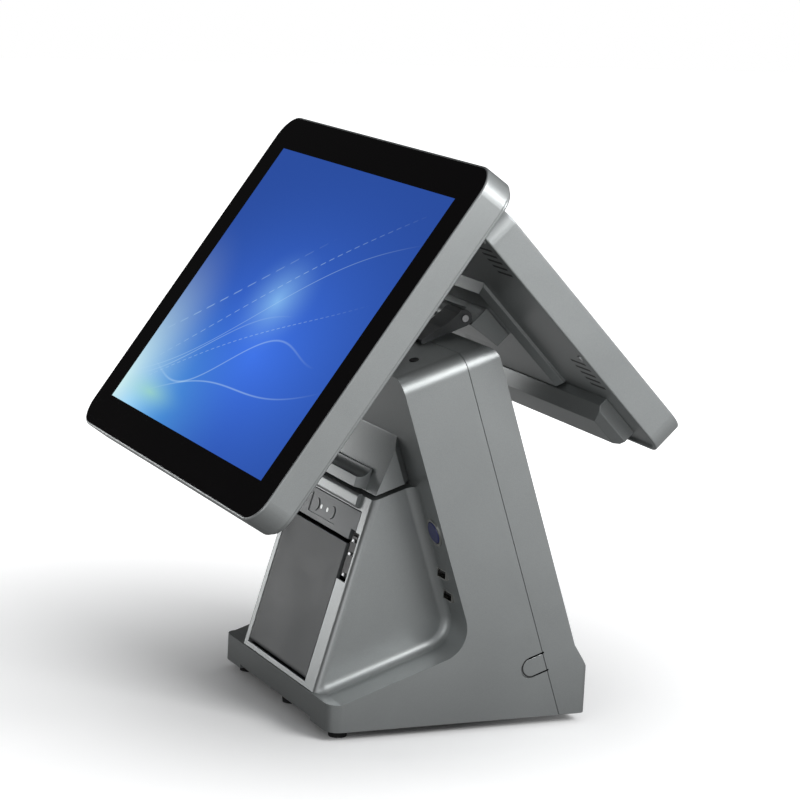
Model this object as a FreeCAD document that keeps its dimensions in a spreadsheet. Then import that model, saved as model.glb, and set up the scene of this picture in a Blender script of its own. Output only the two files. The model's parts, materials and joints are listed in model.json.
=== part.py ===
import FreeCAD, Part
import math
import os
import re
import Sketcher

# Counter terminal with an operator's touch display, a customer display and a
# receipt printer.  Millimetres, +Z up, +X to the operator's right, the operator
# sits towards -Y.  The origin is on the counter, under the middle of the whole
# object, so base_front places the stand along Y.

doc = FreeCAD.newDocument("PosTerminal")

# ---------------------------------------------------------------- driving sizes
SIZES = {
    # stand
    "foot_height": 7, "foot_radius": 7.5, "foot_inset_side": 17,
    "foot_inset_end": 14, "rear_foot_inset": 45, "plate_boss_front": 20, "plate_boss_back": 150,
    "plate_boss_inset": 4.5, "plate_boss_radius": 4.6, "plate_boss_tall": 10, "screw_sink": 1.5,
    "base_width": 206, "base_front": -74, "base_depth": 202.5, "base_lip": 20,
    "lip_flat": 9, "base_corner": 10, "back_corner": 5, "wing_length": 106,
    "wing_round": 22, "column_lean": 19, "column_rise": 207, "column_depth": 76,
    "seam_depth": 50, "seam_gap": 0.4, "top_round": 12,
    "heel_height": 33.5, "heel_top": 51.5, "wall": 3, "plate_thick": 2, "fit_gap": 0.3,
    "outlet_deep": 26, "vent_width": 60, "vent_high": 3, "vent_pitch": 9, "vent_low": 90,
    "sheet": 2, "frame_half": 60, "frame_deep": 5, "flange_end": 60, "foot_flange": 30,
    "board_deep": 40, "board_half": 80, "board_low": 20, "board_high": 180,
    "standoff_radius": 3, "standoff_side": 52, "sink_half": 30, "sink_low": 90,
    "sink_high": 150, "sink_base": 3, "sink_deep": 18, "fin_thick": 2.5,
    "drive_left": -75, "drive_right": -5, "drive_low": 30, "drive_high": 130,
    "drive_thick": 7, "speaker_radius": 18, "speaker_high": 12, "speaker_side": -70,
    "speaker_deep": 10, "io_half": 80, "io_front": 66, "io_leg": 30, "io_back": 108,
    "io_top": 62, "socket_front": 90, "socket_deep": 14, "mouth_deep": 10,
    "tab_width": 14, "tab_length": 19.5, "tab_low": -32, "tab_gap": 0.25,
    "screw_radius": 1.5,
    "screw_head": 3, "board_thick": 1.6,
    # printer housing and its door
    "printer_slope": 15.7, "printer_width": 142, "printer_set_back": 0.8,
    "printer_foot": 17, "printer_round": 5, "side_blend": 7, "hood_line": 146,
    "hood_gap": 3.2, "bar_left": -54.5, "bar_right": 57.5, "hood_top": 193.5,
    "hood_lean": 5, "hood_chamfer": 6, "bar_above": 0.7, "groove_nose": 0.6,
    "bar_out": 9.5, "bar_high": 7.5, "bar_groove": 8, "lip_out": 3, "lip_high": 10,
    "door_mid": -5.5, "door_width": 109, "door_high": 110,
    "door_thick": 3, "door_gap": 1, "sill_high": 6.5, "panel_low": 113,
    "panel_high": 134.5, "panel_right": 62.5, "slot_right": 70, "slot_low": 84,
    "slot_high": 120, "slot_gap": 0.8, "knuckle_radius": 3, "door_axis_up": 11,
    "pin_radius": 1.5, "running_gap": 0.05, "ear_wide": 4, "lever_above": 5,
    "lever_behind": 3, "slot_skin": 0.4,
    # printer mechanism
    "roll_radius": 41.5, "roll_play": 3, "roll_up": 57.5, "roll_deep": 44.5,
    "bucket_wall": 2, "roll_clear": 1, "platen_up": 101, "platen_deep": 14,
    "platen_radius": 7, "platen_end_gap": 2.5, "shaft_radius": 3, "bush_radius": 4.5,
    "arm_thick": 3, "head_gap": 0.4, "head_thick": 3, "sink_thick": 4,
    "gear_module": 0.8, "platen_teeth": 24, "idler_teeth": 20, "pinion_teeth": 10,
    "gear_width": 4, "arm_inset": 7, "mesh_gap": 0.25, "idler_angle": 35,
    "pinion_angle": 12, "motor_radius": 10.5, "motor_length": 22,
    "chassis_thick": 1.2, "chassis_gap": 2, "chassis_front": 22, "chassis_back": 52,
    "chassis_low": 94, "chassis_high": 128, "plate_gap": 2, "rotor_radius": 1.25,
    "stub_radius": 2, "bucket_front": 7, "bucket_low": 13, "bucket_high": 88,
    "bucket_cut": 27, "leg_side": 32, "leg_thick": 3, "window_left": -23, "window_right": 26,
    "window_low": 117, "window_high": 131.2, "window_deep": 0.6, "lamp_left": -3.5,
    "lamp_right": 7.5, "lamp_up": 124, "lamp_radius": 1.7, "key_left": -12.2,
    "key_right": 16.2, "key_radius": 4.5, "key_travel": 0.8, "key_clear": 0.3,
    "key_board": 9, "post_radius": 2, "lever_round": 4, "lever_top": 117,
    # buttons and sockets on the column
    "button_side": 87, "button_up": 87, "button_radius": 8, "ring_radius": 10.5,
    "button_travel": 1.5, "button_clear": 0.35, "usb_side": 82, "usb_upper": 105,
    "usb_lower": 88.5, "usb_width": 12.6, "usb_height": 5.3, "usb_depth": 15,
    "usb_shell": 0.7, "usb_clear": 0.1, "ring_lip": 1, "ring_out": 0.6, "ring_deep": 12,
    "button_out": 1.2, "button_deep": 8.5, "switch_half": 7, "switch_thick": 8,
    "stem_radius": 2,
    # operator display
    "display_tilt": 35, "glass_width": 357, "glass_height": 281, "glass_thick": 3,
    "glass_corner": 18, "bezel_rim": 1.5, "bezel_depth": 21, "bezel_wall": 3,
    "washer_radius": 7, "pin_head": 2, "hinge_sheet": 3, "board_side": 70,
    "lcd_width": 326.5, "lcd_height": 253.5, "lcd_thick": 11, "back_thick": 2.5,
    "bulge_width": 210, "bulge_low": -62, "bulge_high": 58, "bulge_depth": 22,
    "bulge_slope": 12, "hinge_deep": 8, "hinge_rise": 14, "axis_behind": 61,
    "axis_above": 15, "hinge_pin": 4, "hinge_ear": 9, "ear_thick": 5,
    "arm_ear_side": 27, "ear_gap": 1.4, "arm_plate": 3,
    # customer display
    "customer_tilt": 44, "customer_width": 300, "customer_height": 225,
    "customer_depth": 24, "customer_corner": 18, "customer_glass": 2.5,
    "customer_lcd_width": 260, "customer_lcd_height": 200, "customer_lcd_thick": 9,
    "customer_recess": 2, "box_half": 60, "box_low": 50, "box_high": 146,
    "box_depth": 7, "box_slope": 6, "ledge_half": 120, "ledge_low": 13,
    "ledge_high": 48, "ledge_depth": 16, "boss_half": 46, "boss_low": 102,
    "boss_high": 129.2, "customer_hinge_deep": 80.5,
    "customer_hinge_rise": 6.6, "customer_axis_up": 136, "customer_axis_behind": 46,
    "barrel_radius": 6, "customer_pin": 2.5, "knuckle_inner": 20, "knuckle_outer": 45,
}

sizes = doc.addObject("Spreadsheet::Sheet", "Sizes")
for row, (alias, number) in enumerate(SIZES.items(), start=1):
    sizes.set(f"A{row}", alias)
    sizes.set(f"B{row}", str(number))
    sizes.setAlias(f"B{row}", alias)

# -------------------------------------------------- places worked out from sizes
PLACES = {
    "half_width": "base_width/2",
    "lip_top": "foot_height + base_lip",
    "base_back": "base_front + base_depth",
    "wing_y": "base_front + lip_flat",
    "corner_y": "wing_y + wing_length*cos(column_lean)",
    "corner_z": "lip_top + wing_length*sin(column_lean)",
    "printer_y": "base_front + printer_set_back",
    "printer_z": "foot_height + printer_foot",
    "fold": "column_lean + printer_slope",
    "floor_top": "foot_height + plate_thick",
    "hood_foot": "hood_line + hood_gap/cos(fold)",
    "hood_heel": "(corner_y - printer_y - hood_foot*sin(printer_slope))*sin(column_lean)"
                 " + (printer_z + hood_foot*cos(printer_slope) - corner_z)*cos(column_lean)",
    "hood_crown": "(corner_y - printer_y - hood_lean*cos(printer_slope)"
                  " - hood_top*sin(printer_slope))*sin(column_lean) + (printer_z"
                  " - hood_lean*sin(printer_slope) + hood_top*cos(printer_slope)"
                  " - corner_z)*cos(column_lean)",
    "display_axis_y": "corner_y + hinge_deep*cos(column_lean)"
                      " - (column_rise + hinge_rise)*sin(column_lean)",
    "display_axis_z": "corner_z + hinge_deep*sin(column_lean)"
                      " + (column_rise + hinge_rise)*cos(column_lean)",
    "display_y": "display_axis_y - axis_above*sin(display_tilt) - axis_behind*cos(display_tilt)",
    "display_z": "display_axis_z - axis_above*cos(display_tilt) + axis_behind*sin(display_tilt)",
    "customer_axis_y": "corner_y + customer_hinge_deep*cos(column_lean)"
                       " - (column_rise + customer_hinge_rise)*sin(column_lean)",
    "customer_axis_z": "corner_z + customer_hinge_deep*sin(column_lean)"
                       " + (column_rise + customer_hinge_rise)*cos(column_lean)",
    "customer_axis": "customer_axis_up - customer_height/2",
    "customer_y": "customer_axis_y + customer_axis*sin(customer_tilt)"
                  " + customer_axis_behind*cos(customer_tilt)",
    "customer_z": "customer_axis_z - customer_axis*cos(customer_tilt)"
                  " + customer_axis_behind*sin(customer_tilt)",
    "arm_ear_out": "arm_ear_side + ear_thick",
    "base_ear_in": "arm_ear_out + ear_gap",
    "base_ear_out": "base_ear_in + ear_thick",
    "platen_pitch": "gear_module*platen_teeth/2",
    "idler_pitch": "gear_module*idler_teeth/2",
    "pinion_pitch": "gear_module*pinion_teeth/2",
    "idler_up": "platen_up + (platen_pitch + idler_pitch + mesh_gap)*sin(idler_angle)",
    "idler_deep": "platen_deep + (platen_pitch + idler_pitch + mesh_gap)*cos(idler_angle)",
    "pinion_up": "idler_up + (idler_pitch + pinion_pitch + mesh_gap)*sin(pinion_angle)",
    "pinion_deep": "idler_deep + (idler_pitch + pinion_pitch + mesh_gap)*cos(pinion_angle)",
    "idler_phase": "idler_angle + 180 - 180/idler_teeth",
    "idler_step": "360/idler_teeth",
    "pinion_phase": "pinion_angle + 180 - 180/pinion_teeth"
                    " + mod(pinion_angle - idler_phase; idler_step)*idler_teeth/pinion_teeth",
    "head_back": "platen_deep + platen_radius + head_gap + head_thick + sink_thick",
    "roll_leg_front": "printer_y + (roll_deep - 20)*cos(printer_slope) + roll_up*sin(printer_slope)",
    "roll_leg_back": "printer_y + (roll_deep + 20)*cos(printer_slope) + roll_up*sin(printer_slope)",
    "roll_z": "printer_z - roll_deep*sin(printer_slope) + roll_up*cos(printer_slope)",
    "platen_y": "printer_y + platen_deep*cos(printer_slope) + platen_up*sin(printer_slope)",
    "platen_z": "printer_z - platen_deep*sin(printer_slope) + platen_up*cos(printer_slope)",
    "idler_y": "printer_y + idler_deep*cos(printer_slope) + idler_up*sin(printer_slope)",
    "idler_z": "printer_z - idler_deep*sin(printer_slope) + idler_up*cos(printer_slope)",
    "pinion_y": "printer_y + pinion_deep*cos(printer_slope) + pinion_up*sin(printer_slope)",
    "pinion_z": "printer_z - pinion_deep*sin(printer_slope) + pinion_up*cos(printer_slope)",
    "usb_y": "corner_y - (foot_height + (usb_upper + usb_lower)/2 - corner_z)*tan(column_lean)",
    "door_left": "-door_width/2",
    "door_right": "door_width/2",
    "arm_place": "door_right - arm_inset",
    "gear_place": "arm_place - gear_width - 1",
    "platen_half": "gear_place - platen_end_gap",
    "roll_width": "2*platen_half + roll_play",
    "motor_plate": "gear_place - plate_gap",
    "chassis_half": "arm_place + chassis_gap",
    "bezel_width": "glass_width + 2*bezel_rim",
    "bezel_height": "glass_height + 2*bezel_rim",
    "plate_back": "base_back - outlet_deep",
    "lever_up": "slot_low + lever_above",
    "lever_deep": "wall + lever_behind",
    "bar_foot": "hood_foot + bar_above",
    "bar_top": "bar_foot + bar_high + bar_groove",
}


def bind(text):
    """Turn bare size and place names into references to the two sheets."""
    def refer(match):
        word = match.group(0)
        if word in SIZES:
            return "Sizes." + word
        if word in PLACES:
            return "Places." + word
        return word
    return re.sub(r"[A-Za-z_]\w*", refer, str(text))


places = doc.addObject("Spreadsheet::Sheet", "Places")
for row, (alias, formula) in enumerate(PLACES.items(), start=1):
    own = re.sub(r"[A-Za-z_]\w*", lambda m: "Sizes." + m.group(0) if m.group(0) in SIZES
                 else m.group(0), formula)
    places.set(f"A{row}", alias)
    places.setAlias(f"B{row}", alias)
    places.set(f"B{row}", "=" + own)
doc.recompute()
ruler = doc.addObject("App::FeaturePython", "Ruler")


def value(text):
    """The number that an expression over the sheets stands for."""
    return float(ruler.evalExpression(bind(text)))


# ------------------------------------------------------------------ local frames
# Each frame is the world turned about X: (x, y, z, angle) as expressions.
FRAMES = {
    "column": ("0", "corner_y", "corner_z", "column_lean"),
    "printer": ("door_mid", "printer_y", "printer_z", "-printer_slope"),
    "display": ("0", "display_y", "display_z", "90 - display_tilt"),
    "customer": ("0", "customer_y", "customer_z", "90 + customer_tilt"),
    "platen": ("door_mid", "platen_y", "platen_z", "idler_angle - printer_slope"),
    "idler": ("door_mid", "idler_y", "idler_z", "idler_phase - printer_slope"),
    "pinion": ("door_mid", "pinion_y", "pinion_z", "pinion_phase - printer_slope"),
}


def place(thing, frame):
    """Set a finished object in its frame; its own sketches stay in local numbers."""
    if frame is None:
        return thing
    across, deep, high, angle = FRAMES[frame]
    thing.Placement = FreeCAD.Placement(FreeCAD.Vector(), FreeCAD.Rotation(FreeCAD.Vector(1, 0, 0), 10))
    thing.setExpression("Placement.Base.x", bind(across))
    thing.setExpression("Placement.Base.y", bind(deep))
    thing.setExpression("Placement.Base.z", bind(high))
    thing.setExpression("Placement.Rotation.Angle", bind(angle))
    return thing


def rect(low_a, high_a, low_b, high_b):
    """Corner points of a rectangle, as expressions."""
    return [(low_a, low_b), (high_a, low_b), (high_a, high_b), (low_a, high_b)]


class Piece:
    """A PartDesign body built from pads, pockets and rounds in local numbers.

    A pad or pocket takes a plane ("XY", "XZ" or "YZ"), the stretch it fills along
    the third axis, and outlines: a list of points, or (centre a, centre b, radius).
    """

    def __init__(self, label, frame=None):
        self.body = doc.addObject("PartDesign::Body", "Body_" + label)
        self.body.Label = label
        place(self.body, frame)
        self.count = 0

    def _sketch(self, plane, height, outlines):
        self.count += 1
        flat = next(o for o in self.body.Origin.OriginFeatures if o.Role == plane + "_Plane")
        sketch = self.body.newObject("Sketcher::SketchObject", f"Sketch_{self.body.Label}_{self.count}")
        sketch.AttachmentSupport = [(flat, "")]
        sketch.MapMode = "FlatFace"
        sketch.setExpression("AttachmentOffset.Base.z", bind(height))
        for outline in outlines:
            if isinstance(outline, tuple):
                self._circle(sketch, *outline)
            else:
                self._polygon(sketch, outline)
        return sketch

    @staticmethod
    def _pin(sketch, geometry, point, place_a, place_b):
        for kind, text in (("DistanceX", place_a), ("DistanceY", place_b)):
            index = sketch.addConstraint(
                Sketcher.Constraint(kind, -1, 1, geometry, point, value(text)))
            sketch.setExpression(f"Constraints[{index}]", bind(text))

    def _polygon(self, sketch, points):
        spots = [FreeCAD.Vector(value(a), value(b), 0) for a, b in points]
        first = sketch.GeometryCount
        total = len(spots)
        for i in range(total):
            sketch.addGeometry(Part.LineSegment(spots[i], spots[(i + 1) % total]), False)
        for i in range(total):
            sketch.addConstraint(
                Sketcher.Constraint("Coincident", first + i, 2, first + (i + 1) % total, 1))
        for i, (a, b) in enumerate(points):
            self._pin(sketch, first + i, 1, a, b)

    def _circle(self, sketch, centre_a, centre_b, radius):
        centre = FreeCAD.Vector(value(centre_a), value(centre_b), 0)
        ring = sketch.addGeometry(
            Part.Circle(centre, FreeCAD.Vector(0, 0, 1), value(radius)), False)
        self._pin(sketch, ring, 3, centre_a, centre_b)
        index = sketch.addConstraint(Sketcher.Constraint("Radius", ring, value(radius)))
        sketch.setExpression(f"Constraints[{index}]", bind(radius))

    def _feature(self, kind, plane, low, high, outlines):
        # A sketch on XZ looks along -Y, so its heights are counted the other way.
        # A pocket cuts against its sketch's normal, so it starts from the far end.
        far_end = (kind == "Pocket") != (plane == "XZ")
        height = f"({high})" if far_end else f"({low})"
        if plane == "XZ":
            height = "-" + height
        sketch = self._sketch(plane, height, outlines)
        feature = self.body.newObject("PartDesign::" + kind, f"{kind}_{self.body.Label}_{self.count}")
        feature.Profile = sketch
        feature.setExpression("Length", bind(f"({high}) - ({low})"))
        return feature

    def _volume(self):
        doc.recompute()
        return self.body.Shape.Volume if not self.body.Shape.isNull() else 0.0

    def pad(self, plane, low, high, *outlines):
        before = self._volume()
        self._feature("Pad", plane, low, high, outlines)
        if self._volume() <= before:
            raise ValueError(f"{self.body.Label}: pad {self.count} adds nothing")
        return self

    def pocket(self, plane, low, high, *outlines):
        before = self._volume()
        self._feature("Pocket", plane, low, high, outlines)
        if self._volume() >= before - 1e-6:
            raise ValueError(f"{self.body.Label}: pocket {self.count} cuts nothing")
        return self

    def _edges(self, test):
        doc.recompute()
        shape = self.body.Tip.Shape
        return [f"Edge{i}" for i, edge in enumerate(shape.Edges, start=1) if test(edge)]

    def _dress(self, kind, size_name, size, test):
        names = self._edges(test)
        if not names:
            raise ValueError(f"{self.body.Label}: no edge to dress")
        base = self.body.Tip
        feature = self.body.newObject("PartDesign::" + kind, f"{kind}_{self.body.Label}_{self.count}")
        feature.Base = (base, names)
        feature.setExpression(size_name, bind(size))
        self.count += 1
        doc.recompute()
        return self

    def fillet(self, radius, test):
        return self._dress("Fillet", "Radius", radius, test)

    def chamfer(self, size, test):
        return self._dress("Chamfer", "Size", size, test)

    def ring_of(self, copies, axis="X"):
        """Repeat the last pad around one of the body's own axes."""
        last = self.body.Tip
        line = next(o for o in self.body.Origin.OriginFeatures if o.Role == axis + "_Axis")
        pattern = self.body.newObject("PartDesign::PolarPattern", f"Ring_{self.body.Label}")
        pattern.Originals = [last]
        pattern.Axis = (line, [""])
        pattern.Angle = 360
        pattern.setExpression("Occurrences", bind(copies))
        self.body.Tip = pattern
        doc.recompute()
        return self


# ------------------------------------------------------- edge tests and booleans
def along(direction, **limits):
    """Test for straight edges along X, Y or Z whose middle lies within limits."""
    wanted = {"X": FreeCAD.Vector(1, 0, 0), "Y": FreeCAD.Vector(0, 1, 0),
              "Z": FreeCAD.Vector(0, 0, 1)}[direction]

    def test(edge):
        if edge.Curve.TypeId != "Part::GeomLine":
            return False
        if abs(abs(edge.Curve.Direction.dot(wanted)) - 1) > 1e-6:
            return False
        middle = edge.CenterOfMass
        for name, (low, high) in limits.items():
            if not low <= abs(middle.x) <= high and name == "side":
                return False
            if name in "xyz" and not low <= getattr(middle, name) <= high:
                return False
        return True
    return test


def near(y, z, reach=0.5):
    """Test for edges along X that pass close to a point of the YZ plane."""
    straight = along("X")
    return lambda edge: straight(edge) and math.hypot(
        edge.CenterOfMass.y - y, edge.CenterOfMass.z - z) < reach


def block(across, deep, high):
    """A Part::Box from three (low, high) pairs of expressions."""
    box = doc.addObject("Part::Box", "Block")
    for axis, size, (low, top) in zip("xyz", ("Length", "Width", "Height"), (across, deep, high)):
        box.setExpression("Placement.Base." + axis, bind(low))
        box.setExpression(size, bind(f"({top}) - ({low})"))
    return box


def rod(axis, radius, start, length):
    """A Part::Cylinder along "X", "Y" or "Z" from a start point of expressions."""
    cylinder = doc.addObject("Part::Cylinder", "Rod")
    turn = {"X": ((0, 1, 0), 90), "Y": ((1, 0, 0), -90), "Z": ((0, 0, 1), 0)}[axis]
    cylinder.Placement = FreeCAD.Placement(
        FreeCAD.Vector(), FreeCAD.Rotation(FreeCAD.Vector(*turn[0]), turn[1]))
    for name, text in zip("xyz", start):
        cylinder.setExpression("Placement.Base." + name, bind(text))
    cylinder.setExpression("Radius", bind(radius))
    cylinder.setExpression("Height", bind(length))
    return cylinder


def solid(thing):
    return thing.body if isinstance(thing, Piece) else thing


def cut(base, *tools):
    for tool in tools:
        result = doc.addObject("Part::Cut", "Cut")
        result.Base = solid(base)
        result.Tool = solid(tool)
        base = result
    return solid(base)


def fuse(*things):
    result = doc.addObject("Part::MultiFuse", "Fuse")
    result.Shapes = [solid(thing) for thing in things]
    return result


nodes = {}


def keep(label, thing, frame=None):
    """Name a finished sub-part; its label is its file name."""
    thing = solid(thing)
    place(thing, frame)
    thing.Label = label
    nodes[label] = thing
    return thing


# ================================================================ stand casing
def column_spot(deep, up):
    """World Y and Z of a point given in the column's own depth and height."""
    return (f"corner_y + ({deep})*cos(column_lean) - ({up})*sin(column_lean)",
            f"corner_z + ({deep})*sin(column_lean) + ({up})*cos(column_lean)")


def printer_spot(deep, up):
    """World Y and Z of a point given behind and up the printer's sloping face."""
    return (f"printer_y + ({deep})*cos(printer_slope) + ({up})*sin(printer_slope)",
            f"printer_z - ({deep})*sin(printer_slope) + ({up})*cos(printer_slope)")


def casing(label, wall, bottom, rounds):
    """The stand's outline set in by a wall: base, rising wings and leaning column."""
    heel = "(foot_height + heel_top)"
    tip = column_spot(f"-wing_length - ({wall})*tan(column_lean/2)", f"-({wall})")
    inner_corner = column_spot(wall, f"-({wall})")
    top_back = column_spot(f"column_depth - ({wall})", f"column_rise - ({wall})")
    outline = [
        (f"base_front + ({wall})", bottom),
        (f"base_front + ({wall})", f"lip_top - ({wall})"),
        tip,
        inner_corner,
        column_spot(wall, f"column_rise - ({wall})"),
        top_back,
        (f"{top_back[0]} + ({top_back[1]} - {heel})*tan(column_lean)", heel),
        (f"base_back - ({wall})", f"foot_height + heel_height + ({wall})/2"),
        (f"base_back - ({wall})", bottom),
    ]
    half = f"half_width - ({wall})"
    front = value(f"base_front + ({wall})")
    back = value(f"base_back - ({wall})")
    lean = math.radians(value("column_lean"))
    crown = value(column_spot(wall, f"column_rise - ({wall})")[1]) - 1
    back_line = near(value(top_back[0]), value(top_back[1]))

    def top_edges(edge):
        if back_line(edge):
            return True
        return (edge.Curve.TypeId == "Part::GeomLine" and edge.CenterOfMass.z > crown
                and abs(abs(edge.Curve.Direction.y) - math.cos(lean)) < 1e-6)

    return (Piece(label).pad("YZ", f"-({half})", half, outline)
            .fillet(rounds["wing"], near(value(inner_corner[0]), value(inner_corner[1])))
            .fillet(rounds["front"], along("Z", y=(front - 0.1, front + 0.1)))
            .fillet(rounds["top"], top_edges)
            .fillet(rounds["back"], along("Z", y=(back - 0.1, back + 0.1))))


def housing_outline(wall, bottom):
    """The printer housing from the side: sloping front and the line under the hood."""
    foot = f"((({bottom}) - printer_z + ({wall})*sin(printer_slope))/cos(printer_slope))"
    top = f"(hood_line - ({wall})/cos(fold) + ({wall})*tan(fold))"
    run = "60"
    return [printer_spot(wall, foot), printer_spot(wall, top),
            printer_spot(f"({wall}) + {run}", f"{top} + {run}*tan(fold)"),
            ("corner_y + wall + 4", bottom)]


def housing_edges(piece, which):
    """Edges on the printer housing's two sides: its front ones, or where it meets the stand."""
    side = value("printer_width/2")
    slope = math.radians(value("printer_slope"))
    lean = math.radians(value("column_lean"))
    lip_top = value("lip_top")
    under_hood = value(printer_spot("0", "hood_line")[1]) - 1

    def test(edge):
        middle = edge.CenterOfMass
        if abs(abs(middle.x) - side) > 0.01 or edge.BoundBox.XLength > 0.01:
            return False
        if edge.Curve.TypeId == "Part::GeomCircle":
            return which == "joint"
        if edge.Curve.TypeId != "Part::GeomLine":
            return False
        run = edge.Curve.Direction
        if abs(abs(run.y*math.sin(slope) + run.z*math.cos(slope)) - 1) < 1e-6:
            return which == "front"
        if which == "front" or middle.z < lip_top + 0.5:
            return False
        up_wing = abs(abs(run.y*math.cos(lean) + run.z*math.sin(lean)) - 1) < 1e-6
        up_column = abs(abs(run.z*math.cos(lean) - run.y*math.sin(lean)) - 1) < 1e-6
        return up_column or (up_wing and middle.z < under_hood)
    return test


outside = casing("casing_outside", "0", "foot_height",
                 {"wing": "wing_round", "front": "base_corner", "top": "top_round", "back": "back_corner"})
outside.pad("YZ", "-printer_width/2", "printer_width/2", housing_outline("0", "lip_top - 4"))
outside.fillet("printer_round", housing_edges(outside, "front"))
outside.fillet("side_blend", housing_edges(outside, "joint"))
inside = casing("casing_inside", "wall", "foot_height - 1",
                {"wing": "wing_round + wall", "front": "base_corner - wall",
                 "top": "top_round - wall", "back": "back_corner - wall"})
printer_room = Piece("printer_room").pad(
    "YZ", "-(printer_width/2 - wall)", "printer_width/2 - wall",
    housing_outline("wall", "foot_height - 1"))
hollow = cut(outside, inside, printer_room)


def beyond_seam(label, start, end):
    return Piece(label, "column").pad(
        "YZ", "-base_width", "base_width", rect(start, end, "-column_rise", "column_rise + 60"))


def cable_tab(label, low, high, gap):
    """The round-ended tab of the side wall that ends at the seam."""
    half = f"tab_width/2 - {gap}"
    centre = "seam_depth - tab_length + tab_width/2"
    return (Piece(label, "column")
            .pad("YZ", low, high, rect(centre, "seam_depth - seam_gap/2", f"tab_low - ({half})",
                                       f"tab_low + ({half})"))
            .pad("YZ", low, high, (centre, "tab_low", half)))


BOSS_SPOTS = [(deep, side + "(half_width - wall - plate_boss_inset)")
              for deep in ("base_front + plate_boss_front", "base_front + plate_boss_back")
              for side in ("", "-")]
bosses = [rod("Z", "plate_boss_radius", (across, deep, "floor_top"), "plate_boss_tall")
          for deep, across in BOSS_SPOTS]
boss_holes = [rod("Z", "screw_radius", (across, deep, "foot_height"), "plate_boss_tall - 1")
              for deep, across in BOSS_SPOTS]

openings = (Piece("front_openings", "printer")
            .pad("XZ", "-10", "wall + 1", rect("door_left - door_gap", "door_right + door_gap",
                                               "sill_high", "panel_low - 1.5"))
            .pad("XZ", "-10", "wall + 1", rect("door_left - door_gap", "panel_right + slot_gap",
                                               "panel_low - 1.5", "panel_high + slot_gap"))
            .pad("XZ", "-10", "wall + 1", rect("door_right", "slot_right", "slot_low", "slot_high")))
lip = (Piece("paper_lip", "printer")
       .pad("YZ", "door_left - door_gap", "door_right + door_gap",
            rect("-lip_out", "wall", "hood_line - lip_high", "hood_line + 0.5")))
lip.fillet("lip_out*0.9", along("X", y=(-10, -value("lip_out") + 0.1)))
ears = [Piece(label, "printer").pad("YZ", low, high, rect("wall/2", deep, bottom, top))
        for label, low, high, deep, bottom, top in (
            ("ear_left", "door_left - door_gap - ear_wide", "door_left - door_gap",
             "wall + ear_wide", "sill_high", "door_axis_up + ear_wide"),
            ("ear_right", "door_right + door_gap", "door_right + door_gap + ear_wide",
             "wall + ear_wide", "sill_high", "door_axis_up + ear_wide"),
            ("ear_lever", "slot_right + slot_skin", "slot_right + ear_wide",
             "lever_deep + ear_wide", "slot_low", "slot_low + 2*lever_above"))]
ear_bores = (Piece("ear_bores", "printer")
             .pad("YZ", "door_left - door_gap - 3", "door_right + door_gap + 3",
                  ("door_thick", "door_axis_up", "pin_radius"))
             .body)
lever_bore = Piece("lever_bore", "printer").pad("YZ", "slot_right - 1", "slot_right + 3",
                                                ("lever_deep", "lever_up", "pin_radius"))
button_bore = Piece("button_bore", "column").pad("XZ", "-2", "wall + 2",
                                                 ("button_side", "button_up", "ring_radius - ring_lip"))


def usb_window(height):
    half_wide = "(usb_width/2 + usb_shell + usb_clear)"
    half_high = "(usb_height/2 + usb_shell + usb_clear)"
    middle = f"(foot_height + {height})"
    return block((f"usb_side - {half_wide}", f"usb_side + {half_wide}"),
                 ("usb_y - 12", "usb_y + 14"),
                 (f"{middle} - {half_high}", f"{middle} + {half_high}"))


keep("stand_shell", cut(
    fuse(cut(hollow, beyond_seam("rear_room", "seam_depth - seam_gap/2", "column_depth + 90"),
             openings, button_bore, usb_window("usb_upper"), usb_window("usb_lower"),
             cable_tab("tab_hole_right", "half_width - wall - 1", "half_width + 1", "0"),
             cable_tab("tab_hole_left", "-half_width - 1", "-half_width + wall + 1", "0")),
         lip, *ears, *bosses),
    ear_bores, lever_bore, *boss_holes))

vents = [Piece(f"vent_{i}", "column").pad(
    "XZ", "column_depth - wall - 2", "column_depth + 2",
    rect("-vent_width", "vent_width", f"vent_low + {i}*vent_pitch",
         f"vent_low + {i}*vent_pitch + vent_high"))
    for i in range(8)]
keep("rear_cover", cut(hollow, beyond_seam("front_room", "-wing_length - 60", "seam_depth + seam_gap/2"),
                       *vents))
keep("cable_tab_right", cable_tab("tab_right", "half_width - wall", "half_width", "tab_gap"))
keep("cable_tab_left", cable_tab("tab_left", "-half_width", "-half_width + wall", "tab_gap"))

plate = Piece("plate_blank").pad("XY", "foot_height", "foot_height + plate_thick", rect(
    "-(half_width - wall - fit_gap)", "half_width - wall - fit_gap",
    "base_front + wall + fit_gap", "plate_back"))
plate_front = value("base_front + wall + fit_gap")
plate.fillet("base_corner - wall", along("Z", y=(plate_front - 0.1, plate_front + 0.1)))
keep("base_plate", cut(plate, *[rod("Z", "screw_radius + 0.2", (across, deep, "foot_height - 1"), "10")
                                for deep, across in BOSS_SPOTS]))
FOOT_SPOTS = [(side, deep) for deep, inset in (("base_front + foot_inset_end", "foot_inset_side"),
                                               ("plate_back - foot_inset_end", "rear_foot_inset"))
              for side in (f"-(half_width - {inset})", "0", f"half_width - {inset}")]
feet = []
for side, deep in FOOT_SPOTS:
    foot = doc.addObject("Part::Cone", "Foot")
    foot.setExpression("Radius1", bind("foot_radius - 1"))
    foot.setExpression("Radius2", bind("foot_radius"))
    foot.setExpression("Height", bind("foot_height"))
    foot.setExpression("Placement.Base.x", bind(side))
    foot.setExpression("Placement.Base.y", bind(deep))
    feet.append(foot)
keep("rubber_feet", fuse(*feet))
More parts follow.
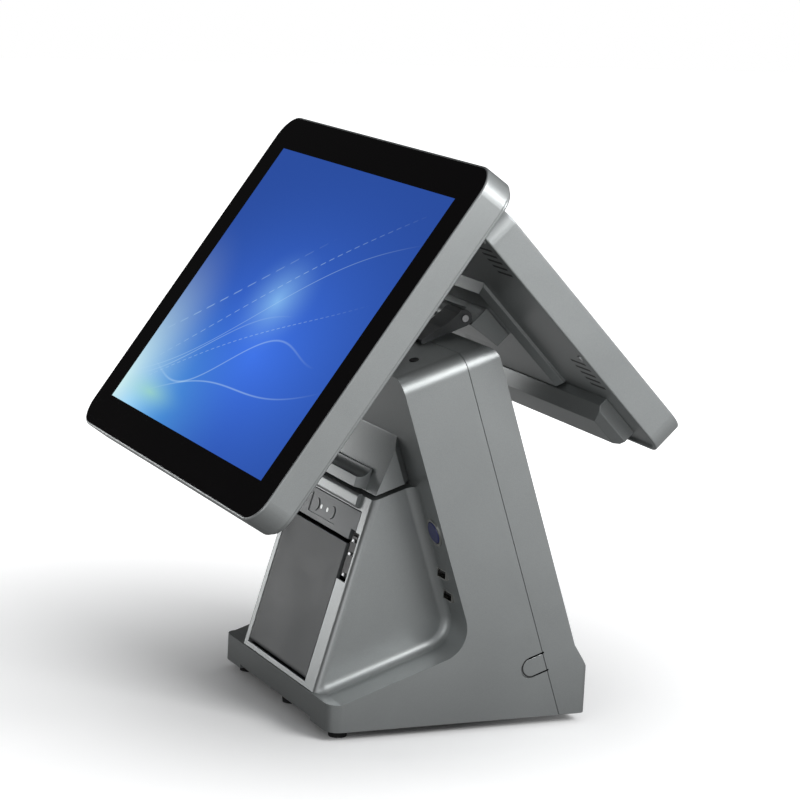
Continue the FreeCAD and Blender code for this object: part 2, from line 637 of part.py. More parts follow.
keep("base_screws", fuse(*[fuse(
    rod("Z", "screw_head", (across, deep, "foot_height - screw_sink"), "screw_sink"),
    rod("Z", "screw_radius", (across, deep, "foot_height - screw_sink/3"),
        "plate_boss_tall - screw_sink")) for deep, across in BOSS_SPOTS]))


# ============================================================ inside the stand
def part(label, frame=None):
    """Start a sub-part that is one body."""
    piece = Piece(label, frame)
    keep(label, piece)
    return piece


def bent_frame():
    """Folded steel sheet: foot on the base plate, leg, leaning web and top flange."""
    front, rear = column_spot("frame_deep", "0"), column_spot("frame_deep + sheet", "0")
    under_top = "column_rise - wall"
    outline = [
        front, column_spot("frame_deep", under_top), column_spot("flange_end", under_top),
        column_spot("flange_end", f"{under_top} - sheet"),
        column_spot("frame_deep + sheet", f"{under_top} - sheet"), rear,
        (rear[0], "floor_top + sheet"), (f"{rear[0]} + foot_flange", "floor_top + sheet"),
        (f"{rear[0]} + foot_flange", "floor_top"), (front[0], "floor_top"),
    ]
    return Piece("frame_sheet").pad("YZ", "-frame_half", "frame_half", outline)


standoffs = Piece("standoffs", "column").pad(
    "XZ", "frame_deep + sheet/2", "board_deep",
    *[(side + "standoff_side", up, "standoff_radius")
      for side in ("-", "") for up in ("board_low + 12", "board_high - 12")])
keep("column_frame", fuse(bent_frame(), standoffs))
part("main_board", "column").pad("XZ", "board_deep", "board_deep + board_thick", rect(
    "-board_half", "board_half", "board_low", "board_high"))
fin_step = "(2*sink_half - fin_thick)/7"
(part("heat_sink", "column")
 .pad("XZ", "board_deep - sink_base", "board_deep", rect("-sink_half", "sink_half", "sink_low", "sink_high"))
 .pad("XZ", "board_deep - sink_deep", "board_deep - sink_base",
      *[rect(f"-sink_half + {i}*{fin_step}", f"-sink_half + {i}*{fin_step} + fin_thick",
             "sink_low", "sink_high") for i in range(8)]))
part("ssd_drive", "column").pad(
    "XZ", "board_deep + board_thick", "board_deep + board_thick + drive_thick",
    rect("drive_left", "drive_right", "drive_low", "drive_high"))
part("speaker").pad("XY", "floor_top", "floor_top + speaker_high",
                    ("speaker_side", "speaker_deep", "speaker_radius"))
(part("io_bracket")
 .pad("XZ", "io_front", "io_front + io_leg", [
     ("-io_half - sheet", "floor_top"), ("-io_half - sheet", "io_top"), ("io_half + sheet", "io_top"),
     ("io_half + sheet", "floor_top"), ("io_half", "floor_top"), ("io_half", "io_top - sheet"),
     ("-io_half", "io_top - sheet"), ("-io_half", "floor_top")])
 .pad("XY", "io_top - sheet", "io_top",
      rect("-io_half - sheet", "io_half + sheet", "io_front", "io_back")))

# Each socket hangs under the bracket, mouth down: middle, width, height, mouth width and depth.
SOCKETS = {"dc_inlet": (-62, 13, 13, 8, 8), "lan_socket": (-30, 17, 14, 12, 8),
           "usb_rear_socket": (2, 17, 14, 13, 6), "drawer_socket": (34, 14, 13, 9.5, 7)}
for label, (middle, width, height, mouth, mouth_wide) in SOCKETS.items():
    centre = "(socket_front + socket_deep/2)"
    (part(label)
     .pad("XY", f"io_top - sheet - {height}", "io_top - sheet",
          rect(f"{middle} - {width}/2", f"{middle} + {width}/2", "socket_front",
               "socket_front + socket_deep"))
     .pocket("XY", f"io_top - sheet - {height}", f"io_top - sheet - {height} + mouth_deep",
             rect(f"{middle} - {mouth}/2", f"{middle} + {mouth}/2", f"{centre} - {mouth_wide}/2",
                  f"{centre} + {mouth_wide}/2")))

# ========================================================== column button, USB
(part("power_button_ring", "column")
 .pad("XZ", "-ring_out", "0", ("button_side", "button_up", "ring_radius"),
      ("button_side", "button_up", "button_radius + button_clear"))
 .pad("XZ", "0", "ring_deep", ("button_side", "button_up", "ring_radius - ring_lip"),
      ("button_side", "button_up", "button_radius + button_clear")))
(part("power_switch", "column")
 .pad("XZ", "ring_deep", "ring_deep + switch_thick",
      rect("button_side - switch_half", "button_side + switch_half",
           "button_up - switch_half", "button_up + switch_half"))
 .pad("XZ", "button_deep + button_travel + 0.5", "ring_deep", ("button_side", "button_up", "stem_radius")))
(part("power_button", "column")
 .pad("XZ", "-button_out", "button_deep", ("button_side", "button_up", "button_radius"))
 .fillet("button_out*2/3", lambda edge: edge.CenterOfMass.y < -1))


def usb_socket(label, up):
    """A thin metal shell whose top edge is flush with the leaning front."""
    half_wide = "(usb_width/2 + usb_shell)"
    half_high = "(usb_height/2 + usb_shell)"
    middle = f"(foot_height + {up})"
    front = f"(corner_y - ({middle} + {half_high} - corner_z)*tan(column_lean))"
    return (Piece(label)
            .pad("XZ", front, f"{front} + usb_depth", rect(
                f"usb_side - {half_wide}", f"usb_side + {half_wide}",
                f"{middle} - {half_high}", f"{middle} + {half_high}"))
            .pocket("XZ", front, f"{front} + usb_depth - usb_shell", rect(
                "usb_side - usb_width/2", "usb_side + usb_width/2",
                f"{middle} - usb_height/2", f"{middle} + usb_height/2")))


keep("usb_sockets", fuse(usb_socket("usb_shell_upper", "usb_upper"),
                         usb_socket("usb_shell_lower", "usb_lower")))

# ===================================================================== hinges
hinge_spot = ("hinge_deep", "column_rise + hinge_rise")
hinge_base = (Piece("hinge_base_body", "column")
              .pad("YZ", "-base_ear_out", "base_ear_out",
                   rect("0.5", "hinge_deep + 16", "column_rise", "column_rise + hinge_sheet")))
for low, high in (("base_ear_in", "base_ear_out"), ("-base_ear_out", "-base_ear_in")):
    hinge_base.pad("YZ", low, high, rect("hinge_deep - 7.5", "hinge_deep + hinge_ear",
                                         "column_rise", hinge_spot[1]))
    hinge_base.pad("YZ", low, high, (*hinge_spot, "hinge_ear"))
hinge_base.pocket("YZ", "-base_ear_out", "base_ear_out", (*hinge_spot, "hinge_pin"))
keep("display_hinge_base", hinge_base)
(part("display_hinge_pin", "column")
 .pad("YZ", "-base_ear_out - 1", "base_ear_out + 1", (*hinge_spot, "hinge_pin"))
 .pad("YZ", "base_ear_out", "base_ear_out + pin_head", (*hinge_spot, "hinge_pin + 2"))
 .pad("YZ", "-base_ear_out - pin_head", "-base_ear_out", (*hinge_spot, "hinge_pin + 2")))
washer_left = Piece("washer_left", "column").pad(
    "YZ", "-base_ear_in", "-arm_ear_out - 0.3", (*hinge_spot, "washer_radius"), (*hinge_spot, "hinge_pin"))
washer_right = Piece("washer_right", "column").pad(
    "YZ", "arm_ear_out + 0.3", "base_ear_in", (*hinge_spot, "washer_radius"), (*hinge_spot, "hinge_pin"))
keep("friction_washers", fuse(washer_left, washer_right))

customer_spot = ("customer_hinge_deep", "column_rise + customer_hinge_rise")
knuckle_arm = [("column_depth - 32", "column_rise"), ("column_depth - top_round", "column_rise"),
               ("customer_hinge_deep", "column_rise + customer_hinge_rise - barrel_radius"),
               ("customer_hinge_deep", "column_rise + customer_hinge_rise + barrel_radius"),
               ("column_depth - 14", "column_rise + 6"), ("column_depth - 32", "column_rise + hinge_sheet")]
rear_hinge = Piece("rear_hinge_body", "column").pad(
    "YZ", "-knuckle_outer", "knuckle_outer",
    rect("column_depth - 32", "column_depth - top_round - 4", "column_rise", "column_rise + hinge_sheet"))
for low, high in (("knuckle_inner", "knuckle_outer"), ("-knuckle_outer", "-knuckle_inner")):
    rear_hinge.pad("YZ", low, high, knuckle_arm)
    rear_hinge.pad("YZ", low, high, (*customer_spot, "barrel_radius"))
rear_hinge.pocket("YZ", "-knuckle_outer", "knuckle_outer", (*customer_spot, "customer_pin"))
keep("customer_hinge_base", rear_hinge)
part("customer_hinge_pin", "column").pad("YZ", "-knuckle_outer", "knuckle_outer + 2",
                                         (*customer_spot, "customer_pin"))

# ============================================================== printer housing
hood = Piece("hood_body").pad("YZ", "-printer_width/2", "printer_width/2", [
    printer_spot("0", "hood_foot"), printer_spot("hood_lean", "hood_top"),
    column_spot("0", "hood_crown + 1"), column_spot("0", "hood_heel")])
hood.chamfer("hood_chamfer", housing_edges(hood, "hood"))
bar = (Piece("hood_bar", "printer")
       .pad("YZ", "bar_left", "bar_right", rect("-bar_out", "1", "bar_foot", "bar_top"))
       .pocket("YZ", "bar_left", "bar_right", ("-bar_groove - groove_nose", "bar_top", "bar_groove")))
keep("printer_hood", fuse(hood, bar))

bucket = (Piece("bucket_outside", "printer")
          .pad("YZ", "-(roll_width/2 + bucket_wall)", "roll_width/2 + bucket_wall",
               ("roll_deep", "roll_up", "roll_radius + roll_clear + bucket_wall"))
          .pad("YZ", "-(roll_width/2 + bucket_wall)", "roll_width/2 + bucket_wall",
               rect("bucket_front", "roll_deep", "bucket_low", "bucket_high")))
bucket_room = (Piece("bucket_room", "printer")
               .pad("YZ", "-roll_width/2", "roll_width/2",
                    ("roll_deep", "roll_up", "roll_radius + roll_clear"))
               .pad("YZ", "-roll_width/2", "roll_width/2",
                    rect("bucket_front - 10", "roll_deep", "bucket_low + bucket_wall + 1",
                         "bucket_high + 40")))
platen_space = (Piece("platen_space", "printer")
                .pad("YZ", "-roll_width", "roll_width",
                     rect("-1", "bucket_cut", "bucket_high", "bucket_high + 30"))
                .pad("YZ", "-roll_width", "roll_width",
                     rect("-20", "bucket_front", "-10", "bucket_high + 10")))
legs = [Piece(label).pad("YZ", low, high, [
    ("roll_leg_front", "floor_top"), ("roll_leg_back", "floor_top"),
    ("roll_leg_back", "roll_z"), ("roll_leg_front", "roll_z")])
    for label, low, high in (("leg_left", "door_mid - leg_side - leg_thick", "door_mid - leg_side"),
                             ("leg_right", "door_mid + leg_side", "door_mid + leg_side + leg_thick"))]
keep("paper_bucket", cut(fuse(bucket, *legs), bucket_room, platen_space))

chassis = Piece("chassis_body", "printer").pad(
    "XY", "chassis_high - chassis_thick", "chassis_high",
    rect("-chassis_half - chassis_thick", "chassis_half + chassis_thick", "chassis_front", "chassis_back"))
for low in ("-chassis_half - chassis_thick", "chassis_half", "motor_plate"):
    chassis.pad("YZ", low, f"{low} + chassis_thick", rect(
        "head_back" if low == "motor_plate" else "chassis_front", "chassis_back",
        "chassis_low + 9" if low == "motor_plate" else "chassis_low", "chassis_high"))
chassis.pocket("YZ", "motor_plate", "motor_plate + chassis_thick",
               ("pinion_deep", "pinion_up", "rotor_radius + 1"))
chassis.pad("YZ", "gear_place - 0.3", "chassis_half", ("idler_deep", "idler_up", "stub_radius"))
keep("printer_chassis", chassis)
head = "(platen_deep + platen_radius + head_gap)"
part("print_head", "printer").pad("YZ", "-platen_half - 1", "platen_half - 0.5", rect(
    head, f"{head} + head_thick", "platen_up - 2", "platen_up + 17"))
(part("head_heat_sink", "printer")
 .pad("YZ", "-platen_half - 1", "platen_half - 0.5", rect(
     f"{head} + head_thick", f"{head} + head_thick + 1.4", "platen_up - 2",
     "chassis_high - chassis_thick"))
 .pad("YZ", "-platen_half + 3", "10", rect(
     f"{head} + head_thick", "head_back", "platen_up - 2", "platen_up + 14")))
(part("stepper_motor", "printer")
 .pad("YZ", "motor_plate - motor_length", "motor_plate", ("pinion_deep", "pinion_up", "motor_radius"))
 .pocket("YZ", "motor_plate - 8", "motor_plate", ("pinion_deep", "pinion_up", "rotor_radius + running_gap")))

panel_left = "door_left - door_gap + slot_gap"
panel = (Piece("panel_body", "printer")
         .pad("XZ", "0", "wall", [
             (panel_left, "panel_low"), ("door_right", "panel_low"),
             ("door_right", "slot_high + slot_gap"), ("panel_right", "slot_high + slot_gap"),
             ("panel_right", "panel_high"), (panel_left, "panel_high")])
         .pad("XZ", "wall", "key_board", ("window_left + 4", "window_low - 1", "post_radius"),
              ("window_right - 4", "window_low - 1", "post_radius"))
         .pocket("XZ", "0", "window_deep", rect("window_left", "window_right", "window_low", "window_high"))
         .pocket("XZ", "window_deep", "wall",
                 ("key_left", "lamp_up", "key_radius + key_clear"),
                 ("key_right", "lamp_up", "key_radius + key_clear"),
                 ("lamp_left", "lamp_up", "lamp_radius"), ("lamp_right", "lamp_up", "lamp_radius")))
keep("indicator_panel", panel)
part("lamp_lenses", "printer").pad("XZ", "0.4", "wall", ("lamp_left", "lamp_up", "lamp_radius"),
                                   ("lamp_right", "lamp_up", "lamp_radius"))
part("printer_board", "printer").pad("XZ", "key_board", "key_board + board_thick", rect(
    "window_left - 3", "window_right + 3", "window_low - 3", "window_high"))
for label, middle in (("feed_button", "key_left"), ("online_button", "key_right")):
    (part(label, "printer")
     .pad("XZ", "0", "wall + 1.5", (middle, "lamp_up", "key_radius"))
     .pad("XZ", "wall + 1.5", "key_board - key_travel - 0.2", (middle, "lamp_up", "2")))

# ================================================================ door and gears
door = (Piece("door_plate", "printer")
        .pad("YZ", "door_left", "door_right", rect("0", "door_thick", "door_axis_up", "door_high"))
        .pad("YZ", "door_left", "door_right", ("door_thick", "door_axis_up", "knuckle_radius")))
for low, high in (("arm_place", "arm_place + arm_thick"), ("-arm_place - arm_thick", "-arm_place")):
    door.pad("YZ", low, high, rect("door_thick", "platen_deep + 6", "platen_up - 11", "door_high - 0.5"))
keep("printer_door", cut(
    door,
    Piece("door_bores", "printer").pad("YZ", "door_left - 1", "door_right + 1",
                                       ("door_thick", "door_axis_up", "pin_radius + running_gap")),
    Piece("bush_seats", "printer").pad("YZ", "-arm_place - arm_thick - 1", "arm_place + arm_thick + 1",
                                       ("platen_deep", "platen_up", "bush_radius"))))
part("door_pin", "printer").pad("YZ", "door_left - door_gap - 3", "door_right + door_gap + 3",
                                ("door_thick", "door_axis_up", "pin_radius"))
keep("platen_bushes", fuse(*[
    Piece(label, "printer").pad("YZ", low, high, ("platen_deep", "platen_up", "bush_radius"),
                                ("platen_deep", "platen_up", "shaft_radius + running_gap"))
    for label, low, high in (("bush_right", "arm_place", "arm_place + arm_thick"),
                             ("bush_left", "-arm_place - arm_thick", "-arm_place"))]))
part("platen_shaft", "platen").pad("YZ", "-arm_place - arm_thick", "arm_place + arm_thick",
                                   ("0", "0", "shaft_radius"))
part("platen_roller", "platen").pad("YZ", "-platen_half", "platen_half", ("0", "0", "platen_radius"),
                                    ("0", "0", "shaft_radius"))


def gear(label, frame, teeth, bore):
    """A spur gear about its frame's X axis with one tooth on the frame's Y axis."""
    pitch = f"(gear_module*{teeth}/2)"
    root, tip = f"({pitch} - 1.25*gear_module)", f"({pitch} + 0.9*gear_module)"
    high = "gear_place + gear_width"
    tooth = [(f"{root} - 0.2", "-gear_module"), (f"{root} + 0.1", "-gear_module"),
             (pitch, "-0.66*gear_module"),
             (tip, "-0.3*gear_module"), (tip, "0.3*gear_module"), (pitch, "0.66*gear_module"),
             (f"{root} + 0.1", "gear_module"), (f"{root} - 0.2", "gear_module")]
    return (part(label, frame)
            .pad("YZ", "gear_place", high, ("0", "0", root), ("0", "0", bore))
            .pad("YZ", "gear_place", high, tooth)
            .ring_of(teeth))


gear("platen_gear", "platen", "platen_teeth", "shaft_radius")
gear("idler_gear", "idler", "idler_teeth", "stub_radius + running_gap")
gear("motor_pinion", "pinion", "pinion_teeth", "rotor_radius")
part("motor_rotor", "pinion").pad("YZ", "motor_plate - 7", "gear_place + gear_width",
                                  ("0", "0", "rotor_radius"))
LEVER_SPAN = ("door_right + 2.5", "slot_right - slot_gap")
lever = (Piece("lever_body", "printer")
         .pad("YZ", *LEVER_SPAN, ("lever_deep", "lever_up", "lever_round"))
         .pad("YZ", *LEVER_SPAN, rect("wall/2", "lever_deep + lever_round", "lever_up", "lever_top"))
         .pocket("YZ", *LEVER_SPAN, rect("wall*1.5", "lever_deep + lever_round + 1",
                                         "lever_up + lever_above", "lever_top + 1"))
         .pocket("YZ", *LEVER_SPAN, ("lever_deep", "lever_up", "pin_radius + running_gap")))
keep("release_lever", lever)
part("lever_pin", "printer").pad("YZ", "door_right + 1.5", "slot_right + 3",
                                 ("lever_deep", "lever_up", "pin_radius"))


# ============================================================= operator display
def slab(label, frame, half_wide, half_high, low, high, corner):
    """A rounded rectangular slab about the frame's Z axis."""
    return (Piece(label, frame)
            .pad("XY", low, high, rect(f"-({half_wide})", half_wide, f"-({half_high})", half_high))
            .fillet(corner, along("Z")))


def level(height):
    """Test for edges lying flat at one height of a slab."""
    return lambda edge: edge.BoundBox.ZLength < 1e-6 and abs(edge.CenterOfMass.z - height) < 1e-4


keep("display_glass", slab("glass_body", "display", "glass_width/2", "glass_height/2", "-glass_thick", "0",
                           "glass_corner"))
part("display_lcd", "display").pad("XY", "-glass_thick - lcd_thick", "-glass_thick", rect(
    "-lcd_width/2", "lcd_width/2", "-lcd_height/2", "lcd_height/2"))
bezel = (slab("bezel_outside", "display", "bezel_width/2", "bezel_height/2", "-bezel_depth", "0",
              "glass_corner + bezel_rim")
         .fillet("bezel_rim*0.8", level(0))
         .fillet("bezel_rim", level(-value("bezel_depth"))))
keep("display_bezel", cut(
    bezel,
    slab("glass_seat", "display", "glass_width/2", "glass_height/2", "-glass_thick", "1", "glass_corner"),
    slab("lcd_window", "display", "lcd_width/2 + 0.5", "lcd_height/2 + 0.5", "-bezel_depth - 1", "1", "2"),
    slab("bezel_room", "display", "bezel_width/2 - bezel_wall", "bezel_height/2 - bezel_wall",
         "-bezel_depth - 1", "-glass_thick - 2", "glass_corner + bezel_rim - bezel_wall")))
back_plate = slab("back_plate", "display", "bezel_width/2 - 2", "bezel_height/2 - 2",
                  "-bezel_depth - back_thick", "-bezel_depth", "glass_corner - 1")
back_plate.fillet("back_thick*0.6", level(-value("bezel_depth + back_thick")))


def bulge(label, inset, top):
    """The box on the display's back, its sides drawn in by bulge_slope."""
    deep = f"-bezel_depth - bulge_depth + {inset}"
    return (Piece(label, "display")
            .pad("YZ", f"-(bulge_width/2 - {inset})", f"bulge_width/2 - {inset}", [
                (f"bulge_low + {inset}", top), (f"bulge_high - {inset}", top),
                (f"bulge_high - {inset} - bulge_slope", deep), (f"bulge_low + {inset} + bulge_slope", deep)])
            .chamfer("bulge_slope*0.8", lambda edge: edge.CenterOfMass.z < value(deep) + 0.01
                     and edge.BoundBox.XLength < 0.01))


keep("display_back", cut(fuse(back_plate, bulge("bulge_outside", "0", "-bezel_depth")),
                         bulge("bulge_room", "back_thick", "-bezel_depth + 1")))
board_face = "-glass_thick - lcd_thick - 14"
part("display_board", "display").pad("XY", board_face, f"{board_face} + board_thick", rect(
    "-board_side", "board_side", "bulge_low + 14", "bulge_high - 14"))
arm_face = "-bezel_depth - bulge_depth"
arm = Piece("arm_body", "display").pad("XY", f"{arm_face} - arm_plate", arm_face, rect(
    "-arm_ear_out", "arm_ear_out", "axis_above - 30", "axis_above + 24"))
for low, high in (("arm_ear_side", "arm_ear_out"), ("-arm_ear_out", "-arm_ear_side")):
    arm.pad("YZ", low, high, rect("axis_above - hinge_ear", "axis_above + hinge_ear",
                                  "-axis_behind", f"{arm_face} - arm_plate/2"))
    arm.pad("YZ", low, high, ("axis_above", "-axis_behind", "hinge_ear"))
arm.pocket("YZ", "-arm_ear_out", "arm_ear_out", ("axis_above", "-axis_behind", "hinge_pin + running_gap"))
keep("display_hinge_arm", arm)

# ============================================================= customer display
keep("customer_glass", slab("customer_glass_body", "customer", "customer_width/2 - bezel_rim",
                            "customer_height/2 - bezel_rim", "0", "customer_glass",
                            "customer_corner - bezel_rim"))
part("customer_lcd", "customer").pad("XY", "customer_glass", "customer_glass + customer_lcd_thick", rect(
    "-customer_lcd_width/2", "customer_lcd_width/2", "-customer_lcd_height/2", "customer_lcd_height/2"))
customer_outside = (slab("customer_outside", "customer", "customer_width/2", "customer_height/2", "0",
                         "customer_depth", "customer_corner")
                    .fillet("bezel_rim*0.8", level(0))
                    .fillet("bezel_rim*0.8", level(value("customer_depth"))))
keep("customer_bezel", cut(
    customer_outside,
    slab("customer_glass_seat", "customer", "customer_width/2 - bezel_rim", "customer_height/2 - bezel_rim",
         "-1", "customer_glass", "customer_corner - bezel_rim"),
    slab("customer_window", "customer", "customer_lcd_width/2 + 0.5", "customer_lcd_height/2 + 0.5",
         "-1", "customer_depth + 1", "2"),
    slab("customer_room", "customer", "customer_width/2 - bezel_wall", "customer_height/2 - bezel_wall",
         "customer_glass + 2", "customer_depth + 1", "customer_corner - bezel_wall")))


def up(height):
    """A height above the customer display's bottom edge."""
    return f"({height} - customer_height/2)"


back_face = "(customer_depth - customer_recess)"
box_face = f"({back_face} + box_depth)"
customer_plate = slab("customer_plate", "customer", "customer_width/2 - bezel_wall",
                      "customer_height/2 - bezel_wall", f"{back_face} - back_thick", back_face,
                      "customer_corner - bezel_wall")
customer_box = (Piece("customer_box", "customer")
                .pad("YZ", "-box_half", "box_half", [
                    (up("box_low"), f"{back_face} - 1"), (up("box_high + box_slope"), f"{back_face} - 1"),
                    (up("box_high"), box_face), (up("box_low"), box_face)])
                .chamfer("box_slope*0.8", lambda edge: edge.CenterOfMass.z > value(box_face) - 0.01
                         and edge.BoundBox.XLength < 0.01))
keep("customer_back", fuse(customer_plate, customer_box))
cover_face = f"({back_face} + ledge_depth)"
cover = (Piece("cable_cover_body", "customer")
         .pad("YZ", "-ledge_half", "ledge_half", [
             (up("ledge_low"), back_face), (up("ledge_high"), back_face),
             (up("ledge_high"), f"{cover_face} - 9"), (up("ledge_high - 9"), cover_face),
             (up("ledge_low + 3"), cover_face), (up("ledge_low"), f"{cover_face} - 3")])
         .chamfer("6", lambda edge: edge.CenterOfMass.z > value(cover_face) - 0.01
                  and edge.BoundBox.XLength < 0.01)
         .pocket("YZ", "-ledge_half + wall", "ledge_half - wall", rect(
             up("ledge_low + wall"), up("ledge_high - wall"), f"{back_face} - 1", f"{cover_face} - 9")))
keep("customer_cable_cover", cover)
KNUCKLE = ("-(knuckle_inner - 0.4)", "knuckle_inner - 0.4")
bracket = (Piece("bracket_body", "customer")
           .pad("YZ", "-boss_half", "boss_half", [
               (up("boss_low"), box_face), (up("boss_high"), box_face),
               (up("boss_high"), "customer_axis_behind"), (up("boss_low"), "customer_axis_behind - 5")])
           .pad("YZ", *KNUCKLE,
                [(up("boss_high - 6"), box_face),
                 (up("customer_axis_up"), "customer_axis_behind - barrel_radius"),
                 (up("customer_axis_up"), "customer_axis_behind"),
                 (up("boss_high - 6"), "customer_axis_behind")])
           .pad("YZ", *KNUCKLE, (up("customer_axis_up"), "customer_axis_behind", "barrel_radius"))
           .pocket("YZ", *KNUCKLE, (up("customer_axis_up"), "customer_axis_behind",
                                    "customer_pin + running_gap")))
keep("customer_bracket", bracket)

# ================================================================ check and write
doc.recompute()
for thing in doc.Objects:
    if "Invalid" in thing.State or "Error" in thing.State:
        raise RuntimeError(f"{thing.Label} failed to compute: {thing.State}")
for label, thing in nodes.items():
    if thing.Shape.isNull() or not thing.Shape.isValid() or not thing.Shape.Solids:
        raise RuntimeError(f"{label} has no valid solid")
os.makedirs("parts", exist_ok=True)
for label, thing in nodes.items():
    thing.Shape.exportStep(f"parts/{label}.step")
print(len(nodes), "sub-parts written")
for name in ("display_axis_y", "display_axis_z", "customer_axis_y", "customer_axis_z", "platen_y",
             "platen_z", "idler_y", "idler_z", "pinion_y", "pinion_z", "usb_y"):
    print(name, round(value(name), 3))
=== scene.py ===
# %% [markdown]
# # Counter terminal with two displays and a receipt printer
# The shapes that fit and move come ready from the imported frame.  This file gives them
# their finishes, adds the small parts that only matter to the eye, and sets up a plain
# studio.  The first cell loads the frame.

# %% Load the frame
import json
import math

import bmesh
import bpy
from mathutils import Matrix, Vector

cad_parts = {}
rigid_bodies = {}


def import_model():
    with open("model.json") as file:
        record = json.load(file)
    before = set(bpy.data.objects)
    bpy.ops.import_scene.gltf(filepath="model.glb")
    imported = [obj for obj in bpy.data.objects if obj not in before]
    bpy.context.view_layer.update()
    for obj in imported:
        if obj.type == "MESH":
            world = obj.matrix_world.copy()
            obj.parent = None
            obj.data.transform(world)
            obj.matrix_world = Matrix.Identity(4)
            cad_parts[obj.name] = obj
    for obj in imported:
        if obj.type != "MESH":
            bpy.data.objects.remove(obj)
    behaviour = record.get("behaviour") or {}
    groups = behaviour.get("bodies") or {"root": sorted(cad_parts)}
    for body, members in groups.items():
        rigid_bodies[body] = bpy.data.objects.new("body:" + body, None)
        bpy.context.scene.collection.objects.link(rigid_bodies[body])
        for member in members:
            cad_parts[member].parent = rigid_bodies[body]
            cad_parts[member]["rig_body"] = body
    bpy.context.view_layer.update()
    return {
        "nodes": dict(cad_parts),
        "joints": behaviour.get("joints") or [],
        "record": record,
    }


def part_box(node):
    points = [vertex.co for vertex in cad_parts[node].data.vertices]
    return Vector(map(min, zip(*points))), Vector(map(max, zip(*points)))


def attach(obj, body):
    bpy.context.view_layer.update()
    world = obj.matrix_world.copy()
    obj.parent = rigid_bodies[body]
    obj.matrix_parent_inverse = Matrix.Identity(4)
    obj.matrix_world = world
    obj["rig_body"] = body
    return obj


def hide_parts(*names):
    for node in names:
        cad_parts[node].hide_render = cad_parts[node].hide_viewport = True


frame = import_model()
nodes = frame["nodes"]
joints = {joint["name"]: joint for joint in frame["joints"]}
scene = bpy.context.scene

# %% [markdown]
# ## Camera
# A camera is placed the way one walks around a table: a heading around the object, a
# height above the horizon and a distance.  A long lens keeps the two displays
# from looking stretched.  The small roll tips the horizon slightly.

# %% Camera
HEADING, HEIGHT, ROLL = (math.radians(angle) for angle in (65.18, 10.55, 2.92))
DISTANCE = 2.172
AIM = Vector((-0.0395, 0.0335, 0.2142))
LENS, SENSOR = 131.37, 36.0

back = Vector((math.sin(HEADING) * math.cos(HEIGHT), -math.cos(HEADING) * math.cos(HEIGHT),
               math.sin(HEIGHT)))
across = Vector((math.cos(HEADING), math.sin(HEADING), 0))
axes = Matrix((across, back.cross(across), back)).transposed()
camera = bpy.data.objects.new("camera", bpy.data.cameras.new("camera"))
camera.data.lens, camera.data.sensor_width = LENS, SENSOR
camera.data.clip_end = 20
camera.matrix_world = (Matrix.Translation(AIM + back * DISTANCE)
                       @ (axes @ Matrix.Rotation(ROLL, 3, "Z")).to_4x4())
scene.collection.objects.link(camera)
scene.camera = camera

# %% [markdown]
# ## Studio
# Silver paint shows what surrounds it, so the room matters as much as the lamps.  The
# room is bright on the operator's right and falls to near black on the left, which lets
# the right-hand faces read as light metal, the tops as dark metal and the front glass
# as deep black.  One soft lamp stands on the right, a broad one hangs overhead for the
# floor, and a weak one fills the front.  The lens itself sees a white background.

# %% Studio
def area_light(name, place, target, size, power):
    data = bpy.data.lights.new(name, "AREA")
    data.shape, data.size, data.energy = "SQUARE", size, power
    light = bpy.data.objects.new(name, data)
    direction = Vector(target) - Vector(place)
    light.matrix_world = (Matrix.Translation(place)
                          @ direction.to_track_quat("-Z", "Y").to_matrix().to_4x4())
    scene.collection.objects.link(light)
    return light


MIDDLE = (0, 0, 0.2)
area_light("key", (1.0, 0.55, 0.85), (0, 0.1, 0.28), 0.6, 12)
area_light("top_fill", (-0.2, -0.4, 2.6), MIDDLE, 2.2, 6)
area_light("left_low", (-1.7, -0.95, 0.22), (0, -0.1, 0.1), 0.6, 5)
area_light("front_fill", (1.3, -2.0, 0.7), MIDDLE, 1.6, 10)

BRIGHT_SIDE = Vector((0.80, 0.45, 0.40)).normalized()
ROOM_TONES = ((0.30, (0.03, 0.03, 0.03, 1)), (0.85, (0.62, 0.63, 0.64, 1)))

world = bpy.data.worlds.new("studio")
scene.world = world
world.use_nodes = True
sky = world.node_tree.nodes
links = world.node_tree.links
sky.clear()
coords = sky.new("ShaderNodeTexCoord")
facing = sky.new("ShaderNodeVectorMath")
facing.operation, facing.inputs[1].default_value = "DOT_PRODUCT", BRIGHT_SIDE
half = sky.new("ShaderNodeMath")
half.operation = "MULTIPLY_ADD"
half.inputs[1].default_value = half.inputs[2].default_value = 0.5
ramp = sky.new("ShaderNodeValToRGB")
ramp.color_ramp.interpolation = "EASE"
for stop, (position, colour) in zip(ramp.color_ramp.elements, ROOM_TONES):
    stop.position, stop.color = position, colour
light_path = sky.new("ShaderNodeLightPath")
pick = sky.new("ShaderNodeMix")
pick.data_type = "RGBA"
seen = next(socket for socket in pick.inputs if socket.name == "B" and socket.type == "RGBA")
lit = next(socket for socket in pick.inputs if socket.name == "A" and socket.type == "RGBA")
seen.default_value = (1, 1, 1, 1)
glow = sky.new("ShaderNodeBackground")
out = sky.new("ShaderNodeOutputWorld")
links.new(coords.outputs["Generated"], facing.inputs[0])
links.new(facing.outputs["Value"], half.inputs[0])
links.new(half.outputs[0], ramp.inputs[0])
links.new(light_path.outputs["Is Camera Ray"], pick.inputs["Factor"])
links.new(ramp.outputs[0], lit)
links.new(next(s for s in pick.outputs if s.type == "RGBA"), glow.inputs["Color"])
links.new(glow.outputs[0], out.inputs["Surface"])
scene.view_settings.view_transform = "Standard"

# %% [markdown]
# ## Node helpers
# Each finish below is a Principled BSDF with a few textures in front of it.  Textures
# read Object coordinates, which on these pieces are metres in the frame, so a scale of
# 1000 means one pattern cell per millimetre.

